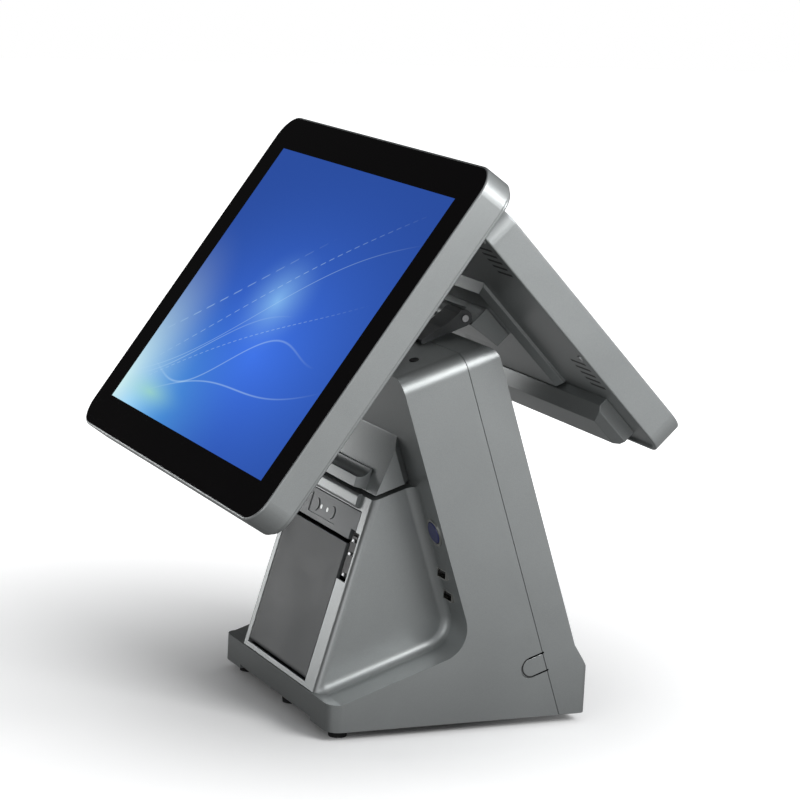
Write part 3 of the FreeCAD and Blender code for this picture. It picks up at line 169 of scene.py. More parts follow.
# %% Node helpers
def add(tree, kind, **sockets):
    """A new node; keyword names set its inputs, or its properties where no input has it."""
    node = tree.nodes.new("ShaderNode" + kind)
    for name, value in sockets.items():
        key = name.replace("_", " ")
        if key in node.inputs:
            node.inputs[key].default_value = value
        else:
            setattr(node, name, value)
    return node


def math_node(tree, operation, first, second=None, third=None, clamp=False):
    node = tree.nodes.new("ShaderNodeMath")
    node.operation, node.use_clamp = operation, clamp
    for socket, value in zip(node.inputs, (first, second, third)):
        if value is None:
            continue
        if isinstance(value, bpy.types.NodeSocket):
            tree.links.new(value, socket)
        else:
            socket.default_value = value
    return node.outputs[0]


def mix_colour(tree, factor, first, second):
    node = tree.nodes.new("ShaderNodeMix")
    node.data_type = "RGBA"
    for name, value in (("Factor", factor), ("A", first), ("B", second)):
        socket = next(s for s in node.inputs if s.name == name
                      and s.type == ("VALUE" if name == "Factor" else "RGBA"))
        if isinstance(value, bpy.types.NodeSocket):
            tree.links.new(value, socket)
        elif name == "Factor":
            socket.default_value = value
        else:
            socket.default_value = (*value[:3], 1)
    return next(s for s in node.outputs if s.type == "RGBA")


def new_group(name, inputs, outputs):
    """A shader node group with float or vector inputs and float outputs."""
    tree = bpy.data.node_groups.new(name, "ShaderNodeTree")
    for title, value in inputs.items():
        kind = "NodeSocketVector" if value is None else "NodeSocketFloat"
        socket = tree.interface.new_socket(title, in_out="INPUT", socket_type=kind)
        if value is not None:
            socket.default_value = value
    for title in outputs:
        tree.interface.new_socket(title, in_out="OUTPUT", socket_type="NodeSocketFloat")
    return tree, tree.nodes.new("NodeGroupInput").outputs, tree.nodes.new("NodeGroupOutput").inputs


def use_group(tree, group, vector, **values):
    node = tree.nodes.new("ShaderNodeGroup")
    node.node_tree = group
    tree.links.new(vector, node.inputs["Vector"])
    for title, value in values.items():
        node.inputs[title].default_value = value
    return node.outputs


# %% [markdown]
# ## Shared effects
# Three effects return on many pieces, so each is one node group: the fine grain of a
# moulding or a painted skin, the sparkle of metal flakes in silver paint, and the faint
# clouds that hands and dust leave on any used surface.

# %% Grain, flakes and handling
grain_group, grain_in, grain_out = new_group(
    "skin_grain", {"Vector": None, "Scale": 2200.0, "Softness": 0.5}, ["Height"])
noise = add(grain_group, "TexNoise", Detail=3.0)
fine = add(grain_group, "TexVoronoi", feature="SMOOTH_F1")
grain_group.links.new(grain_in["Vector"], noise.inputs["Vector"])
grain_group.links.new(grain_in["Scale"], noise.inputs["Scale"])
grain_group.links.new(grain_in["Softness"], noise.inputs["Roughness"])
grain_group.links.new(grain_in["Vector"], fine.inputs["Vector"])
grain_group.links.new(math_node(grain_group, "MULTIPLY", grain_in["Scale"], 1.7),
                      fine.inputs["Scale"])
grain_group.links.new(math_node(grain_group, "MULTIPLY_ADD", fine.outputs["Distance"], 0.5,
                                math_node(grain_group, "MULTIPLY", noise.outputs[0], 0.5)),
                      grain_out["Height"])

flake_group, flake_in, flake_out = new_group(
    "paint_flakes", {"Vector": None, "Scale": 5200.0, "Amount": 0.5}, ["Flakes"])
cells = add(flake_group, "TexVoronoi")
flake_group.links.new(flake_in["Vector"], cells.inputs["Vector"])
flake_group.links.new(flake_in["Scale"], cells.inputs["Scale"])
tone = add(flake_group, "SeparateColor")
flake_group.links.new(cells.outputs["Color"], tone.inputs[0])
flake_group.links.new(math_node(flake_group, "MULTIPLY", tone.outputs[0], flake_in["Amount"]),
                      flake_out["Flakes"])

handling_group, handling_in, handling_out = new_group(
    "handling", {"Vector": None, "Scale": 9.0, "Contrast": 2.0}, ["Clouds", "Specks"])
clouds = add(handling_group, "TexNoise", Detail=6.0, Roughness=0.62, Distortion=0.6)
specks = add(handling_group, "TexNoise", Detail=2.0, Roughness=0.5)
for texture in (clouds, specks):
    handling_group.links.new(handling_in["Vector"], texture.inputs["Vector"])
handling_group.links.new(handling_in["Scale"], clouds.inputs["Scale"])
handling_group.links.new(math_node(handling_group, "MULTIPLY", handling_in["Scale"], 60.0),
                         specks.inputs["Scale"])
centred = math_node(handling_group, "SUBTRACT", clouds.outputs[0], 0.5)
handling_group.links.new(
    math_node(handling_group, "MULTIPLY_ADD", centred, handling_in["Contrast"], 0.5, clamp=True),
    handling_out["Clouds"])
handling_group.links.new(
    math_node(handling_group, "MULTIPLY_ADD", specks.outputs[0], 9.0, -6.2, clamp=True),
    handling_out["Specks"])
print("groups:", [group.name for group in bpy.data.node_groups])

# %% [markdown]
# ## Finishes
# `finish` makes one material.  Every finish mixes two close colours by the clouds, so no
# surface is one flat tone, lets the clouds move the roughness a little, and takes its
# texture from the grain.  What differs between silver paint, moulded plastic, rubber and
# plated steel is how much of each it gets.

# %% Finish maker
def start_material(name):
    material = bpy.data.materials.new(name)
    material.use_nodes = True
    tree = material.node_tree
    shader = tree.nodes["Principled BSDF"]
    vector = add(tree, "TexCoord").outputs["Object"]
    return material, tree, shader, vector


def finish(name, colour, variation=0.12, metallic=0.0, roughness=0.5, spread=0.08, grain=0.02,
           grain_scale=2200.0, flakes=0.0, specks=0.0, coat=0.0, clouds_scale=9.0):
    material, tree, shader, vector = start_material(name)
    touched = use_group(tree, handling_group, vector, Scale=clouds_scale)
    darker = [channel * (1 - variation) for channel in colour]
    lighter = [channel * (1 + variation) for channel in colour]
    tone = mix_colour(tree, touched["Clouds"], darker, lighter)
    if flakes:
        sparkle = use_group(tree, flake_group, vector, Amount=flakes)["Flakes"]
        tone = mix_colour(tree, sparkle, tone, (0.9, 0.92, 0.93))
    if specks:
        dust = math_node(tree, "MULTIPLY", touched["Specks"], specks)
        tone = mix_colour(tree, dust, tone, (0.55, 0.54, 0.52))
    tree.links.new(tone, shader.inputs["Base Color"])
    tree.links.new(math_node(tree, "MULTIPLY_ADD", touched["Clouds"], spread,
                             roughness - spread / 2), shader.inputs["Roughness"])
    shader.inputs["Metallic"].default_value = metallic
    shader.inputs["Coat Weight"].default_value = coat
    shader.inputs["Coat Roughness"].default_value = 0.3
    bump = add(tree, "Bump", Strength=grain * 10, Distance=0.0001)
    skin = use_group(tree, grain_group, vector, Scale=grain_scale)
    tree.links.new(skin["Height"], bump.inputs["Height"])
    tree.links.new(bump.outputs[0], shader.inputs["Normal"])
    return material


SILVER = (0.30, 0.315, 0.315)
FINISHES = {
    "casing": finish("silver_paint", SILVER, 0.05, metallic=0.72, roughness=0.40, spread=0.06,
                     grain=0.012, grain_scale=1500, flakes=0.10, coat=0.12),
    "rubber": finish("black_rubber", (0.012, 0.012, 0.012), 0.3, roughness=0.75, grain=0.05,
                     specks=0.15),
    "steel": finish("zinc_sheet", (0.55, 0.56, 0.56), 0.15, metallic=1.0, roughness=0.38,
                    spread=0.2, clouds_scale=40),
    "turned_steel": finish("turned_steel", (0.60, 0.60, 0.61), 0.08, metallic=1.0, roughness=0.22,
                           spread=0.1, clouds_scale=60),
    "board": finish("green_board", (0.01, 0.10, 0.04), 0.3, roughness=0.35, spread=0.2, coat=0.4,
                    clouds_scale=70),
    "aluminium": finish("plain_aluminium", (0.66, 0.67, 0.68), 0.08, metallic=1.0, roughness=0.42,
                        spread=0.15, clouds_scale=30),
    "door": finish("door_plastic", (0.122, 0.128, 0.130), 0.12, roughness=0.52, spread=0.16,
                   grain=0.05, grain_scale=1300, specks=0.10, metallic=0.15, clouds_scale=16),
    "panel": finish("panel_plastic", (0.145, 0.155, 0.160), 0.08, roughness=0.45, spread=0.1,
                    grain=0.03, grain_scale=1600, metallic=0.2),
    "black_plastic": finish("black_plastic", (0.013, 0.013, 0.014), 0.3, roughness=0.45,
                            spread=0.15, grain=0.03),
    "gear_plastic": finish("natural_acetal", (0.74, 0.72, 0.64), 0.06, roughness=0.35, spread=0.1,
                           clouds_scale=60),
    "button": finish("blue_button", (0.018, 0.024, 0.14), 0.2, roughness=0.25, spread=0.1,
                     coat=0.6),
    "lamp": finish("clear_lamp", (0.80, 0.86, 0.84), 0.1, roughness=0.2, spread=0.1, coat=0.6),
    "socket": finish("nickel_plate", (0.62, 0.61, 0.58), 0.1, metallic=1.0, roughness=0.22,
                     spread=0.12, clouds_scale=80),
    "bracket": finish("dark_grey_paint", (0.10, 0.104, 0.106), 0.1, metallic=0.35, roughness=0.45,
                      spread=0.1, grain=0.03, flakes=0.03),
}


def dress(node, material):
    """Give a frame node a finish; its mesh stays as it is."""
    mesh = nodes[node].data
    mesh.materials.clear()
    mesh.materials.append(material)


for entry in frame["record"]["subparts"]:
    if entry["material_slot"] in FINISHES:
        dress(entry["node"], FINISHES[entry["material_slot"]])
print("finishes:", len(FINISHES))

# %% [markdown]
# ## The lit picture behind the front glass
# On the real display the picture comes from a panel bonded to the glass.  A picture file
# would be the short way, but then the pattern would not be ours to change.  Here it is
# drawn by the material: the glass's own coordinates are turned flat and scaled so that
# the picture runs from -1 to 1 each way, and light trails are drawn on a blue ground.

# %% Picture helpers
TILT = math.radians(35)
PICTURE = (0.3041, 0.2281)

trail_group, trail_in, trail_out = new_group(
    "light_trail", {"Vector": None, "Offset": 0.0, "Slope": 0.5, "Swing": 0.1, "Waves": 3.0,
                    "Phase": 0.0, "Width": 0.006, "Dashes": 0.0, "Start": -1.0, "End": 1.0},
    ["Light"])
place = add(trail_group, "SeparateXYZ")
trail_group.links.new(trail_in["Vector"], place.inputs[0])
angle = math_node(trail_group, "MULTIPLY_ADD", place.outputs["X"], trail_in["Waves"],
                  trail_in["Phase"])
wave = math_node(trail_group, "MULTIPLY", math_node(trail_group, "SINE", angle), trail_in["Swing"])
line = math_node(trail_group, "MULTIPLY_ADD", place.outputs["X"], trail_in["Slope"],
                 trail_in["Offset"])
away = math_node(trail_group, "ABSOLUTE", math_node(
    trail_group, "SUBTRACT", place.outputs["Y"], math_node(trail_group, "ADD", line, wave)))
share = math_node(trail_group, "DIVIDE", away, trail_in["Width"])
core = math_node(trail_group, "SUBTRACT", 1.0, share, clamp=True)
beat = math_node(trail_group, "SINE", math_node(trail_group, "MULTIPLY", place.outputs["X"],
                                                trail_in["Dashes"]))
gaps = math_node(trail_group, "MULTIPLY_ADD", beat, 1.6, 0.9, clamp=True)
fade_in = math_node(trail_group, "MULTIPLY", math_node(
    trail_group, "SUBTRACT", place.outputs["X"], trail_in["Start"]), 3.0, clamp=True)
fade_out = math_node(trail_group, "MULTIPLY", math_node(
    trail_group, "SUBTRACT", trail_in["End"], place.outputs["X"]), 1.5, clamp=True)
shown = math_node(trail_group, "MULTIPLY", math_node(trail_group, "MULTIPLY", core, gaps),
                  math_node(trail_group, "MULTIPLY", fade_in, fade_out))
trail_group.links.new(shown, trail_out["Light"])

TRAILS = [
    dict(Offset=0.34, Slope=0.80, Swing=0.05, Waves=2.0, Phase=0.4, Width=0.010, Dashes=70.0,
         Start=-1.0, End=0.2),
    dict(Offset=0.10, Slope=0.85, Swing=0.06, Waves=2.4, Phase=1.0, Width=0.007, Dashes=120.0,
         Start=-0.9, End=0.9),
    dict(Offset=-0.05, Slope=0.72, Swing=0.10, Waves=3.0, Phase=0.2, Width=0.006, Dashes=0.0,
         Start=-0.95, End=1.0),
    dict(Offset=-0.22, Slope=0.55, Swing=0.09, Waves=4.2, Phase=1.6, Width=0.008, Dashes=0.0,
         Start=-0.9, End=0.3),
    dict(Offset=-0.44, Slope=0.36, Swing=0.13, Waves=5.0, Phase=0.3, Width=0.010, Dashes=0.0,
         Start=-0.8, End=0.8),
    dict(Offset=-0.66, Slope=0.30, Swing=0.07, Waves=3.5, Phase=2.4, Width=0.008, Dashes=0.0,
         Start=-0.7, End=1.0),
    dict(Offset=-0.30, Slope=0.62, Swing=0.05, Waves=2.6, Phase=2.0, Width=0.005, Dashes=150.0,
         Start=-0.9, End=0.9),
]


def flat_picture(tree, vector, centre, turn, size):
    """Coordinates that lie in the glass, from -1 to 1 across a picture of that size."""
    turned = add(tree, "Mapping", vector_type="TEXTURE", Location=centre, Rotation=turn,
                 Scale=(size[0] / 2, size[1] / 2, 1.0))
    tree.links.new(vector, turned.inputs["Vector"])
    return turned.outputs[0]


def inside_frame(tree, flat):
    """1 inside the picture's edge, 0 on the black border."""
    place = add(tree, "SeparateXYZ")
    tree.links.new(flat, place.inputs[0])
    wide = math_node(tree, "LESS_THAN", math_node(tree, "ABSOLUTE", place.outputs["X"]), 1.0)
    high = math_node(tree, "LESS_THAN", math_node(tree, "ABSOLUTE", place.outputs["Y"]), 1.0)
    return math_node(tree, "MULTIPLY", wide, high)


def spot(tree, flat, centre, reach, stretch):
    """A soft round glow that falls from 1 at its centre to 0 at its reach."""
    moved = add(tree, "Mapping", vector_type="TEXTURE", Location=(*centre, 0.0), Scale=stretch)
    tree.links.new(flat, moved.inputs["Vector"])
    length = add(tree, "VectorMath", operation="LENGTH")
    flatten = add(tree, "VectorMath", operation="MULTIPLY")
    flatten.inputs[1].default_value = (1, 1, 0)
    tree.links.new(moved.outputs[0], flatten.inputs[0])
    tree.links.new(flatten.outputs[0], length.inputs[0])
    share = math_node(tree, "DIVIDE", length.outputs["Value"], reach)
    near = math_node(tree, "SUBTRACT", 1.0, share, clamp=True)
    return math_node(tree, "MULTIPLY", near, near)


GLASS_HALF = 0.0015


def glass_centre(node, normal):
    """The middle of a glass's outer face."""
    low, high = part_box(node)
    return (low + high) / 2 + normal * GLASS_HALF


# %% [markdown]
# ## The front glass
# The front of the display is one sheet of glass with a black border printed behind it.
# One material covers the whole sheet: a mask splits border from picture, and soft glows
# are laid over a blue ground one after another, each with its own place and strength.
# Cutting the sheet in two would be simpler to colour but would put a joint where the
# real sheet has none.

# %% Front glass
GLOWS = [  # centre, reach, stretch, strength, colour
    ((-0.80, -1.00), 1.30, (1.0, 0.85, 1.0), 1.0, (0.12, 0.52, 1.0)),
    ((-1.05, -0.90), 1.05, (0.75, 1.30, 1.0), 1.0, (0.74, 1.0, 0.97)),
    ((-0.62, -0.86), 0.30, (1.6, 0.5, 1.0), 0.5, (0.45, 0.85, 0.42)),
    ((0.03, 0.02), 0.42, (1.0, 1.0, 1.0), 0.75, (0.30, 0.62, 1.0)),
]


def front_glass():
    normal = Vector((0, -math.cos(TILT), math.sin(TILT)))
    material, tree, shader, vector = start_material("front_glass")
    flat = flat_picture(tree, vector, glass_centre("display_glass", normal),
                        (math.pi / 2 - TILT, 0, 0), PICTURE)
    picture = mix_colour(tree, spot(tree, flat, (0.15, -0.35), 1.5, (1.3, 1.0, 1.0)),
                         (0.022, 0.075, 0.36), (0.052, 0.185, 0.86))
    for centre, reach, stretch, strength, colour in GLOWS:
        glow = math_node(tree, "MULTIPLY", spot(tree, flat, centre, reach, stretch), strength)
        picture = mix_colour(tree, glow, picture, colour)
    light = 0.0
    for trail in TRAILS:
        drawn = use_group(tree, trail_group, flat, **trail)["Light"]
        light = math_node(tree, "ADD", light, drawn)
    picture = mix_colour(tree, math_node(tree, "MULTIPLY", light, 0.45, clamp=True), picture,
                         (0.55, 0.80, 1.0))
    lit = inside_frame(tree, flat)
    smudge = use_group(tree, handling_group, vector, Scale=14.0)
    tree.links.new(mix_colour(tree, lit, (0.0035, 0.003, 0.0033), (0.004, 0.008, 0.03)),
                   shader.inputs["Base Color"])
    tree.links.new(mix_colour(tree, lit, (0, 0, 0), picture), shader.inputs["Emission Color"])
    shader.inputs["Emission Strength"].default_value = 0.92
    tree.links.new(math_node(tree, "MULTIPLY_ADD", smudge["Clouds"], 0.05, 0.06),
                   shader.inputs["Roughness"])
    shader.inputs["Specular IOR Level"].default_value = 0.22
    dress("display_glass", material)


front_glass()
print("front glass:", len(GLOWS), "glows and", len(TRAILS), "trails")

# %% [markdown]
# ## The customer's glass
# The customer's display is dark in use between sales.  Its glass is the same black, and
# the panel behind it shows as a slightly lighter, bluer field with a crisp edge.

# %% Customer glass
CUSTOMER_TILT = math.radians(44)
CUSTOMER_PICTURE = (0.2458, 0.1843)


def customer_glass():
    normal = Vector((0, math.cos(CUSTOMER_TILT), math.sin(CUSTOMER_TILT)))
    material, tree, shader, vector = start_material("customer_glass")
    flat = flat_picture(tree, vector, glass_centre("customer_glass", normal),
                        (math.pi / 2 + CUSTOMER_TILT, 0, 0), CUSTOMER_PICTURE)
    lit = inside_frame(tree, flat)
    smudge = use_group(tree, handling_group, vector, Scale=14.0)
    field = mix_colour(tree, smudge["Clouds"], (0.010, 0.013, 0.017), (0.014, 0.018, 0.024))
    tree.links.new(mix_colour(tree, lit, (0.0035, 0.003, 0.0033), field),
                   shader.inputs["Base Color"])
    tree.links.new(math_node(tree, "MULTIPLY_ADD", smudge["Clouds"], 0.05, 0.05),
                   shader.inputs["Roughness"])
    shader.inputs["Specular IOR Level"].default_value = 0.22
    dress("customer_glass", material)


customer_glass()
print("customer glass: a dark field", CUSTOMER_PICTURE, "metres")

# %% [markdown]
# ## Soft edges
# A moulded or folded edge is never perfectly sharp: it catches a thin line of light, and
# where two pieces meet the rolled edges make the joint read as a dark line.  A Bevel
# modifier could do this, but the frame's meshes are loose triangles, so each piece is
# copied, merged, its flat areas joined into single faces, and then its sharp edges are
# bevelled with the bmesh operator.  Weighted normals keep the broad faces flat.

# %% Soft edges
SHARP, FLAT = math.radians(32), math.radians(0.6)


def link_piece(name, mesh, material, body):
    mesh.materials.append(material)
    mesh.shade_smooth()
    mesh.set_sharp_from_angle(angle=SHARP)
    obj = bpy.data.objects.new(name, mesh)
    scene.collection.objects.link(obj)
    weighted = obj.modifiers.new("flat_faces", "WEIGHTED_NORMAL")
    weighted.keep_sharp = True
    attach(obj, body)
    return obj


def soften(node, width):
    """A merged copy of a frame node with rolled edges, which stands for the node."""
    shape = bmesh.new()
    shape.from_mesh(nodes[node].data)
    bmesh.ops.remove_doubles(shape, verts=shape.verts, dist=2e-6)
    bmesh.ops.dissolve_limit(shape, angle_limit=FLAT, verts=shape.verts, edges=shape.edges)
    sharp = [edge for edge in shape.edges
             if len(edge.link_faces) == 2 and edge.calc_face_angle() > SHARP]
    bmesh.ops.bevel(shape, geom=sharp, offset=width, offset_type="OFFSET", segments=2, profile=0.5,
                    affect="EDGES", clamp_overlap=True, material=-1)
    mesh = bpy.data.meshes.new(node + "_soft")
    shape.to_mesh(mesh)
    shape.free()
    obj = link_piece(node + "_soft", mesh, nodes[node].data.materials[0], nodes[node]["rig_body"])
    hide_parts(node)
    return obj


SOFT = {"stand_shell": 0.00035, "rear_cover": 0.00035, "cable_tab_right": 0.0003,
        "cable_tab_left": 0.0003, "printer_door": 0.0004, "indicator_panel": 0.00025,
        "printer_hood": 0.0004, "release_lever": 0.0003, "display_back": 0.0005,
        "customer_back": 0.0005, "customer_cable_cover": 0.0005, "customer_bracket": 0.0004}
for node, width in SOFT.items():
    print(node, "->", len(soften(node, width).data.polygons), "faces")

# %% [markdown]
# ## Placing small parts
# The small parts belong to three tilted pieces: the leaning column, the sloping printer
# front and the customer display.  A matrix for each turns flat drawing coordinates
# (across, depth, height) into places in the frame.  The angles come from the directions
# in which the buttons travel, and the origins from the pieces' own boxes.

# %% Tilted frames
def push_angle(name):
    """How far a button's travel leans from level."""
    axis = joints[name]["axis"]
    return math.atan2(axis[2], axis[1])


LEAN, SLOPE = push_angle("power_press"), push_angle("feed_press")


def tilted(point, angle):
    return Matrix.Translation(point) @ Matrix.Rotation(angle, 4, "X")


def middle(node):
    low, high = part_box(node)
    return (low + high) / 2


CUSTOMER_BACK = math.pi / 2 + CUSTOMER_TILT
lever_frame = tilted(middle("release_lever"), SLOPE)
customer_frame = tilted(middle("customer_glass"), CUSTOMER_BACK)
display_frame = tilted(middle("display_glass"), math.pi / 2 - TILT)
board_frame = tilted(middle("main_board"), LEAN)
print("column leans", round(math.degrees(LEAN), 1), "printer slopes", round(math.degrees(SLOPE), 1))


def stamp(shape, small, place):
    """Add a finished small bmesh to a larger one at its place."""
    bmesh.ops.transform(small, matrix=place, verts=small.verts)
    mesh = bpy.data.meshes.new("stamp")
    small.to_mesh(mesh)
    small.free()
    shape.from_mesh(mesh)
    bpy.data.meshes.remove(mesh)


def bar(shape, place, low, high, roll):
    """A block between two corners of a tilted frame, its edges rolled over."""
    low, high = Vector(low), Vector(high)
    small = bmesh.new()
    bmesh.ops.create_cube(small, size=1.0)
    bmesh.ops.scale(small, vec=high - low, verts=small.verts)
    bmesh.ops.translate(small, vec=(low + high) / 2, verts=small.verts)
    bmesh.ops.bevel(small, geom=small.edges[:], offset=roll, segments=2, profile=0.5,
                    affect="EDGES", material=-1)
    stamp(shape, small, place)


def round_head(shape, place, radius, high, roll):
    """A short round head standing on a frame's XY plane, its upper rim rolled over."""
    small = bmesh.new()
    bmesh.ops.create_cone(small, cap_ends=True, segments=28, radius1=radius, radius2=radius,
                          depth=high)
    bmesh.ops.translate(small, vec=(0, 0, high / 2), verts=small.verts)
    rim = [edge for edge in small.edges if all(vert.co.z > high / 2 for vert in edge.verts)]
    bmesh.ops.bevel(small, geom=rim, offset=roll, segments=3, profile=0.5, affect="EDGES",
                    material=-1)
    stamp(shape, small, place)


def finish_piece(name, shape, material, body):
    bmesh.ops.recalc_face_normals(shape, faces=shape.faces)
    mesh = bpy.data.meshes.new(name)
    shape.to_mesh(mesh)
    shape.free()
    obj = link_piece(name, mesh, FINISHES[material], body)
    print(name, len(mesh.polygons), "faces on", body)
    return obj


# %% [markdown]
# ## Socket tongues
# A USB socket is a bright steel shell with a black tongue that carries the contacts.
# The tongue hangs from the upper half of the mouth and stops a little behind its rim.

# %% Socket tongues
SHELL_HIGH, SHELL_DEEP = 0.0067, 0.015
usb_low, usb_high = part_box("usb_sockets")
tongues = bmesh.new()
for front, height in ((usb_high.y - SHELL_DEEP, usb_low.z + SHELL_HIGH / 2),
                      (usb_low.y, usb_high.z - SHELL_HIGH / 2)):
    mouth = Matrix.Translation(((usb_low.x + usb_high.x) / 2, front, height))
    bar(tongues, mouth, (-0.0054, 0.0012, 0.0003), (0.0054, 0.0140, 0.0021), 0.0003)
finish_piece("usb_tongues", tongues, "black_plastic", "stand")

# %% [markdown]
# ## Catches beside the door
# The release lever sits in a black slot.  Three small pale ribs on its face give the
# fingertip some grip, and they are what shows of it from outside.

# %% Lever ribs
lever_low, lever_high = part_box("release_lever")
rib_span = (lever_high.z - lever_low.z) * 0.40
ribs = bmesh.new()
for height in (rib_span, rib_span * 0.25, -rib_span * 0.95):
    bar(ribs, lever_frame, (-0.0018, -0.0036, height - 0.0011),
        (0.0018, -0.0026, height + 0.0011), 0.0004)
finish_piece("lever_ribs", ribs, "aluminium", "lever")

# %% [markdown]
# ## Painted shade round the cable tabs
# A thin black band lies in the gap round each cable tab as painted shade, so the tab
# reads as a dark horseshoe on the side wall.  Two circles bridged into a flat ring make
# its round end; the ring is cut in half, its cut ends are drawn out to the seam, and the
# strip is then given its thickness.

# %% Painted shade round the tabs
tab_middle, tab_side = middle("cable_tab_right"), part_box("cable_tab_right")[1].x
TAB_RADIUS, TAB_LENGTH = 0.007, 0.0195
SHADE_BAND, SHADE_BAND_PROUD, SHADE_BAND_DEEP = 0.00055, 0.00008, 0.002


def moved_points(made):
    return [item for item in made["geom"] if isinstance(item, bmesh.types.BMVert)]


# A black band in the gap round one tab: painted shade where the gap holds only shadow.
def tab_gap_shade(shape, side):
    small = bmesh.new()
    for radius in (TAB_RADIUS - SHADE_BAND, TAB_RADIUS + SHADE_BAND):
        bmesh.ops.create_circle(small, segments=48, radius=radius)
    bmesh.ops.bridge_loops(small, edges=small.edges[:])
    bmesh.ops.bisect_plane(small, geom=small.verts[:] + small.edges[:] + small.faces[:],
                           plane_co=(0, 0, 0), plane_no=(0, 1, 0), clear_outer=True)
    ends = [edge for edge in small.edges if all(abs(vert.co.y) < 1e-6 for vert in edge.verts)]
    drawn = bmesh.ops.extrude_edge_only(small, edges=ends)
    bmesh.ops.translate(small, vec=(0, TAB_LENGTH - TAB_RADIUS, 0), verts=moved_points(drawn))
    raised = bmesh.ops.extrude_face_region(small, geom=small.faces[:])
    bmesh.ops.translate(small, vec=(0, 0, -SHADE_BAND_DEEP), verts=moved_points(raised))
    bmesh.ops.recalc_face_normals(small, faces=small.faces)
    centre = tilted((side * (tab_side + SHADE_BAND_PROUD), tab_middle.y, tab_middle.z), LEAN)
    facing_out = Matrix(((0, 0, side, 0), (0, 1, 0, 0), (1, 0, 0, 0), (0, 0, 0, 1)))
    start = Matrix.Translation((0, TAB_RADIUS - TAB_LENGTH / 2, 0))
    stamp(shape, small, centre @ facing_out @ start)


# Painted shade: the bands take the black rubber finish to stand in for the shadow in the gaps.
gap_shades = bmesh.new()
for side in (1, -1):
    tab_gap_shade(gap_shades, side)
finish_piece("tab_gap_shades", gap_shades, "rubber", "stand")

# %% [markdown]
# ## Screws, plugs and vents
# The back covers are held by small cross-head screws, the column's top has two rubber
# plugs over its hidden screws, and the customer display breathes through two groups of
# slots on each side.  Each is built once flat and stamped at its places.

# %% Screws and plugs
HEAD_RADIUS, HEAD_HIGH = 0.0028, 0.0012
UP_FROM_Y = Matrix.Rotation(-math.pi / 2, 4, "X")
TURNED_OVER = Matrix.Rotation(math.pi, 4, "X")
CUSTOMER_PLATE, DISPLAY_PLATE, COLUMN_BACK, COLUMN_TOP = 0.02075, 0.0220, 0.0352, 0.1070

screw_places = [customer_frame @ Matrix.Translation((side * 0.135, height, CUSTOMER_PLATE))
                for side in (-1, 1) for height in (0.096, -0.020)]
screw_places += [
    display_frame @ Matrix.Translation((side * 0.160, height, -DISPLAY_PLATE)) @ TURNED_OVER
    for side in (-1, 1) for height in (0.122, 0.0, -0.122)]
screw_places += [board_frame @ Matrix.Translation((side * 0.084, COLUMN_BACK, height)) @ UP_FROM_Y
                 for side in (-1, 1) for height in (-0.035, 0.080)]
bodies = ["customer"] * 4 + ["display"] * 6 + ["stand"] * 4
for body in ("customer", "display", "stand"):
    heads, cross_shade = bmesh.new(), bmesh.new()
    for place, owner in zip(screw_places, bodies):
        if owner != body:
            continue
        round_head(heads, place, HEAD_RADIUS, HEAD_HIGH, 0.0007)
        # The cross recess is two black bars set into the head: painted shade in place of a sunk
        # recess.
        for turn in (0, math.pi / 2):
            across = place @ Matrix.Rotation(turn, 4, "Z")
            bar(cross_shade, across, (-0.0014, -0.0003, HEAD_HIGH - 0.0003),
                (0.0014, 0.0003, HEAD_HIGH + 0.00004), 0.00001)
    finish_piece(f"{body}_screws", heads, "steel", body)
    finish_piece(f"{body}_screw_cross_shade", cross_shade, "black_plastic", body)

plugs = bmesh.new()
for side in (-1, 1):
    oval = Matrix.Diagonal((1.5, 1.0, 1.0, 1.0))
    round_head(plugs, board_frame @ Matrix.Translation((side * 0.072, -0.016, COLUMN_TOP)) @ oval,
               0.0032, 0.0006, 0.0003)
finish_piece("column_plugs", plugs, "rubber", "stand")

# %% [markdown]
# ## Vents of the customer display
# Each slot is a shallow black inlay with rolled ends, painted shade in place of an open
# slot, because a slot this fine shows only as a dark line on the real cover.

# %% Vents
vent_shade = bmesh.new()
for side in (-1, 1):
    for start in (0.060, -0.052):
        for step in range(5):
            low = start + step * 0.006
            edges = sorted((side * 0.112, side * 0.134))
            bar(vent_shade, customer_frame, (edges[0], low, CUSTOMER_PLATE - 0.0004),
                (edges[1], low + 0.0022, CUSTOMER_PLATE + 0.00006), 0.00002)
finish_piece("customer_vent_shade", vent_shade, "black_plastic", "customer")

# %% [markdown]
# ## Parts on the main board
# Inside the column the board carries its chips, memory sockets and capacitors.  They are
# seen only with the rear cover off, so plain packages of the right sizes are enough.

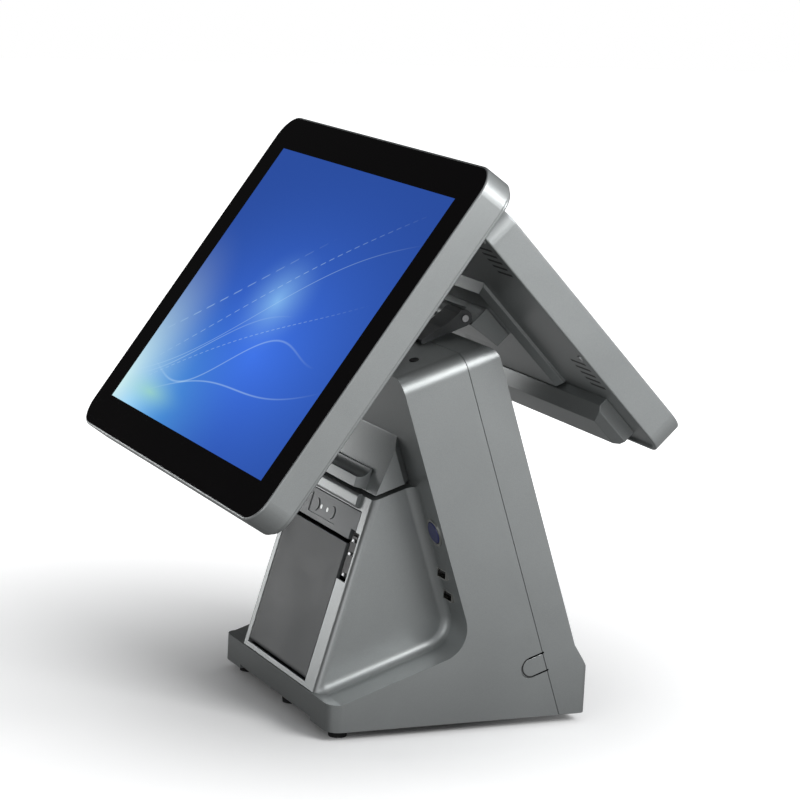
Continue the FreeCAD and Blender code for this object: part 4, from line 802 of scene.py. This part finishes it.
# %% Board parts
BOARD_FACE, CHIP_THICK = 0.0008, 0.0018
CHIPS = [  # left, low, width, height
    (0.020, 0.010, 0.018, 0.018), (0.050, 0.020, 0.012, 0.012), (0.030, -0.030, 0.010, 0.014),
    (0.055, -0.040, 0.012, 0.008), (0.012, 0.045, 0.060, 0.007), (0.012, 0.057, 0.060, 0.007)]
chips = bmesh.new()
for left, low, width, height in CHIPS:
    bar(chips, board_frame, (left, BOARD_FACE, low),
        (left + width, BOARD_FACE + CHIP_THICK, low + height), 0.0003)
finish_piece("board_chips", chips, "black_plastic", "stand")
cans = bmesh.new()
for step in range(4):
    round_head(cans, board_frame @ Matrix.Translation((0.020 + step * 0.012, BOARD_FACE, -0.060))
               @ UP_FROM_Y, 0.0040, 0.0090, 0.0006)
finish_piece("board_capacitors", cans, "aluminium", "stand")

# %% [markdown]
# ## Floor
# A sheet of pale card, far larger than the picture, so that the object stands on
# something and keeps a soft contact shadow under its feet.

# %% Floor
sheet = bmesh.new()
bmesh.ops.create_grid(sheet, x_segments=1, y_segments=1, size=6)
floor_mesh = bpy.data.meshes.new("floor")
sheet.to_mesh(floor_mesh)
sheet.free()
floor = bpy.data.objects.new("floor", floor_mesh)
scene.collection.objects.link(floor)


def card_material():
    """Pale card that is white to the lens and duller to the object standing on it, lit by a painted
    glow that grows away from the middle.
    """
    material, tree, shader, vector = start_material("pale_card")
    rays = add(tree, "LightPath")
    clouds = use_group(tree, handling_group, vector, Scale=3.0)["Clouds"]
    pale = mix_colour(tree, clouds, (0.88, 0.88, 0.88), (0.90, 0.90, 0.90))
    tree.links.new(mix_colour(tree, rays.outputs["Is Camera Ray"], (0.10, 0.10, 0.10), pale),
                   shader.inputs["Base Color"])
    # Painted light: the card glows fully for the lens and at less than half for the object, from
    # nothing near the middle to full strength farther out.
    length = add(tree, "VectorMath", operation="LENGTH")
    tree.links.new(vector, length.inputs[0])
    far = math_node(tree, "MULTIPLY_ADD", length.outputs["Value"], 1.6, -0.15, clamp=True)
    dimmed = math_node(tree, "MULTIPLY", far, 0.45)
    tree.links.new(mix_colour(tree, rays.outputs["Is Camera Ray"], dimmed, far),
                   shader.inputs["Emission Color"])
    shader.inputs["Emission Strength"].default_value = 1.0
    shader.inputs["Roughness"].default_value = 0.9
    shader.inputs["Specular IOR Level"].default_value = 0.1
    return material


floor_mesh.materials.append(card_material())
print("floor:", floor_mesh.materials[0].name)
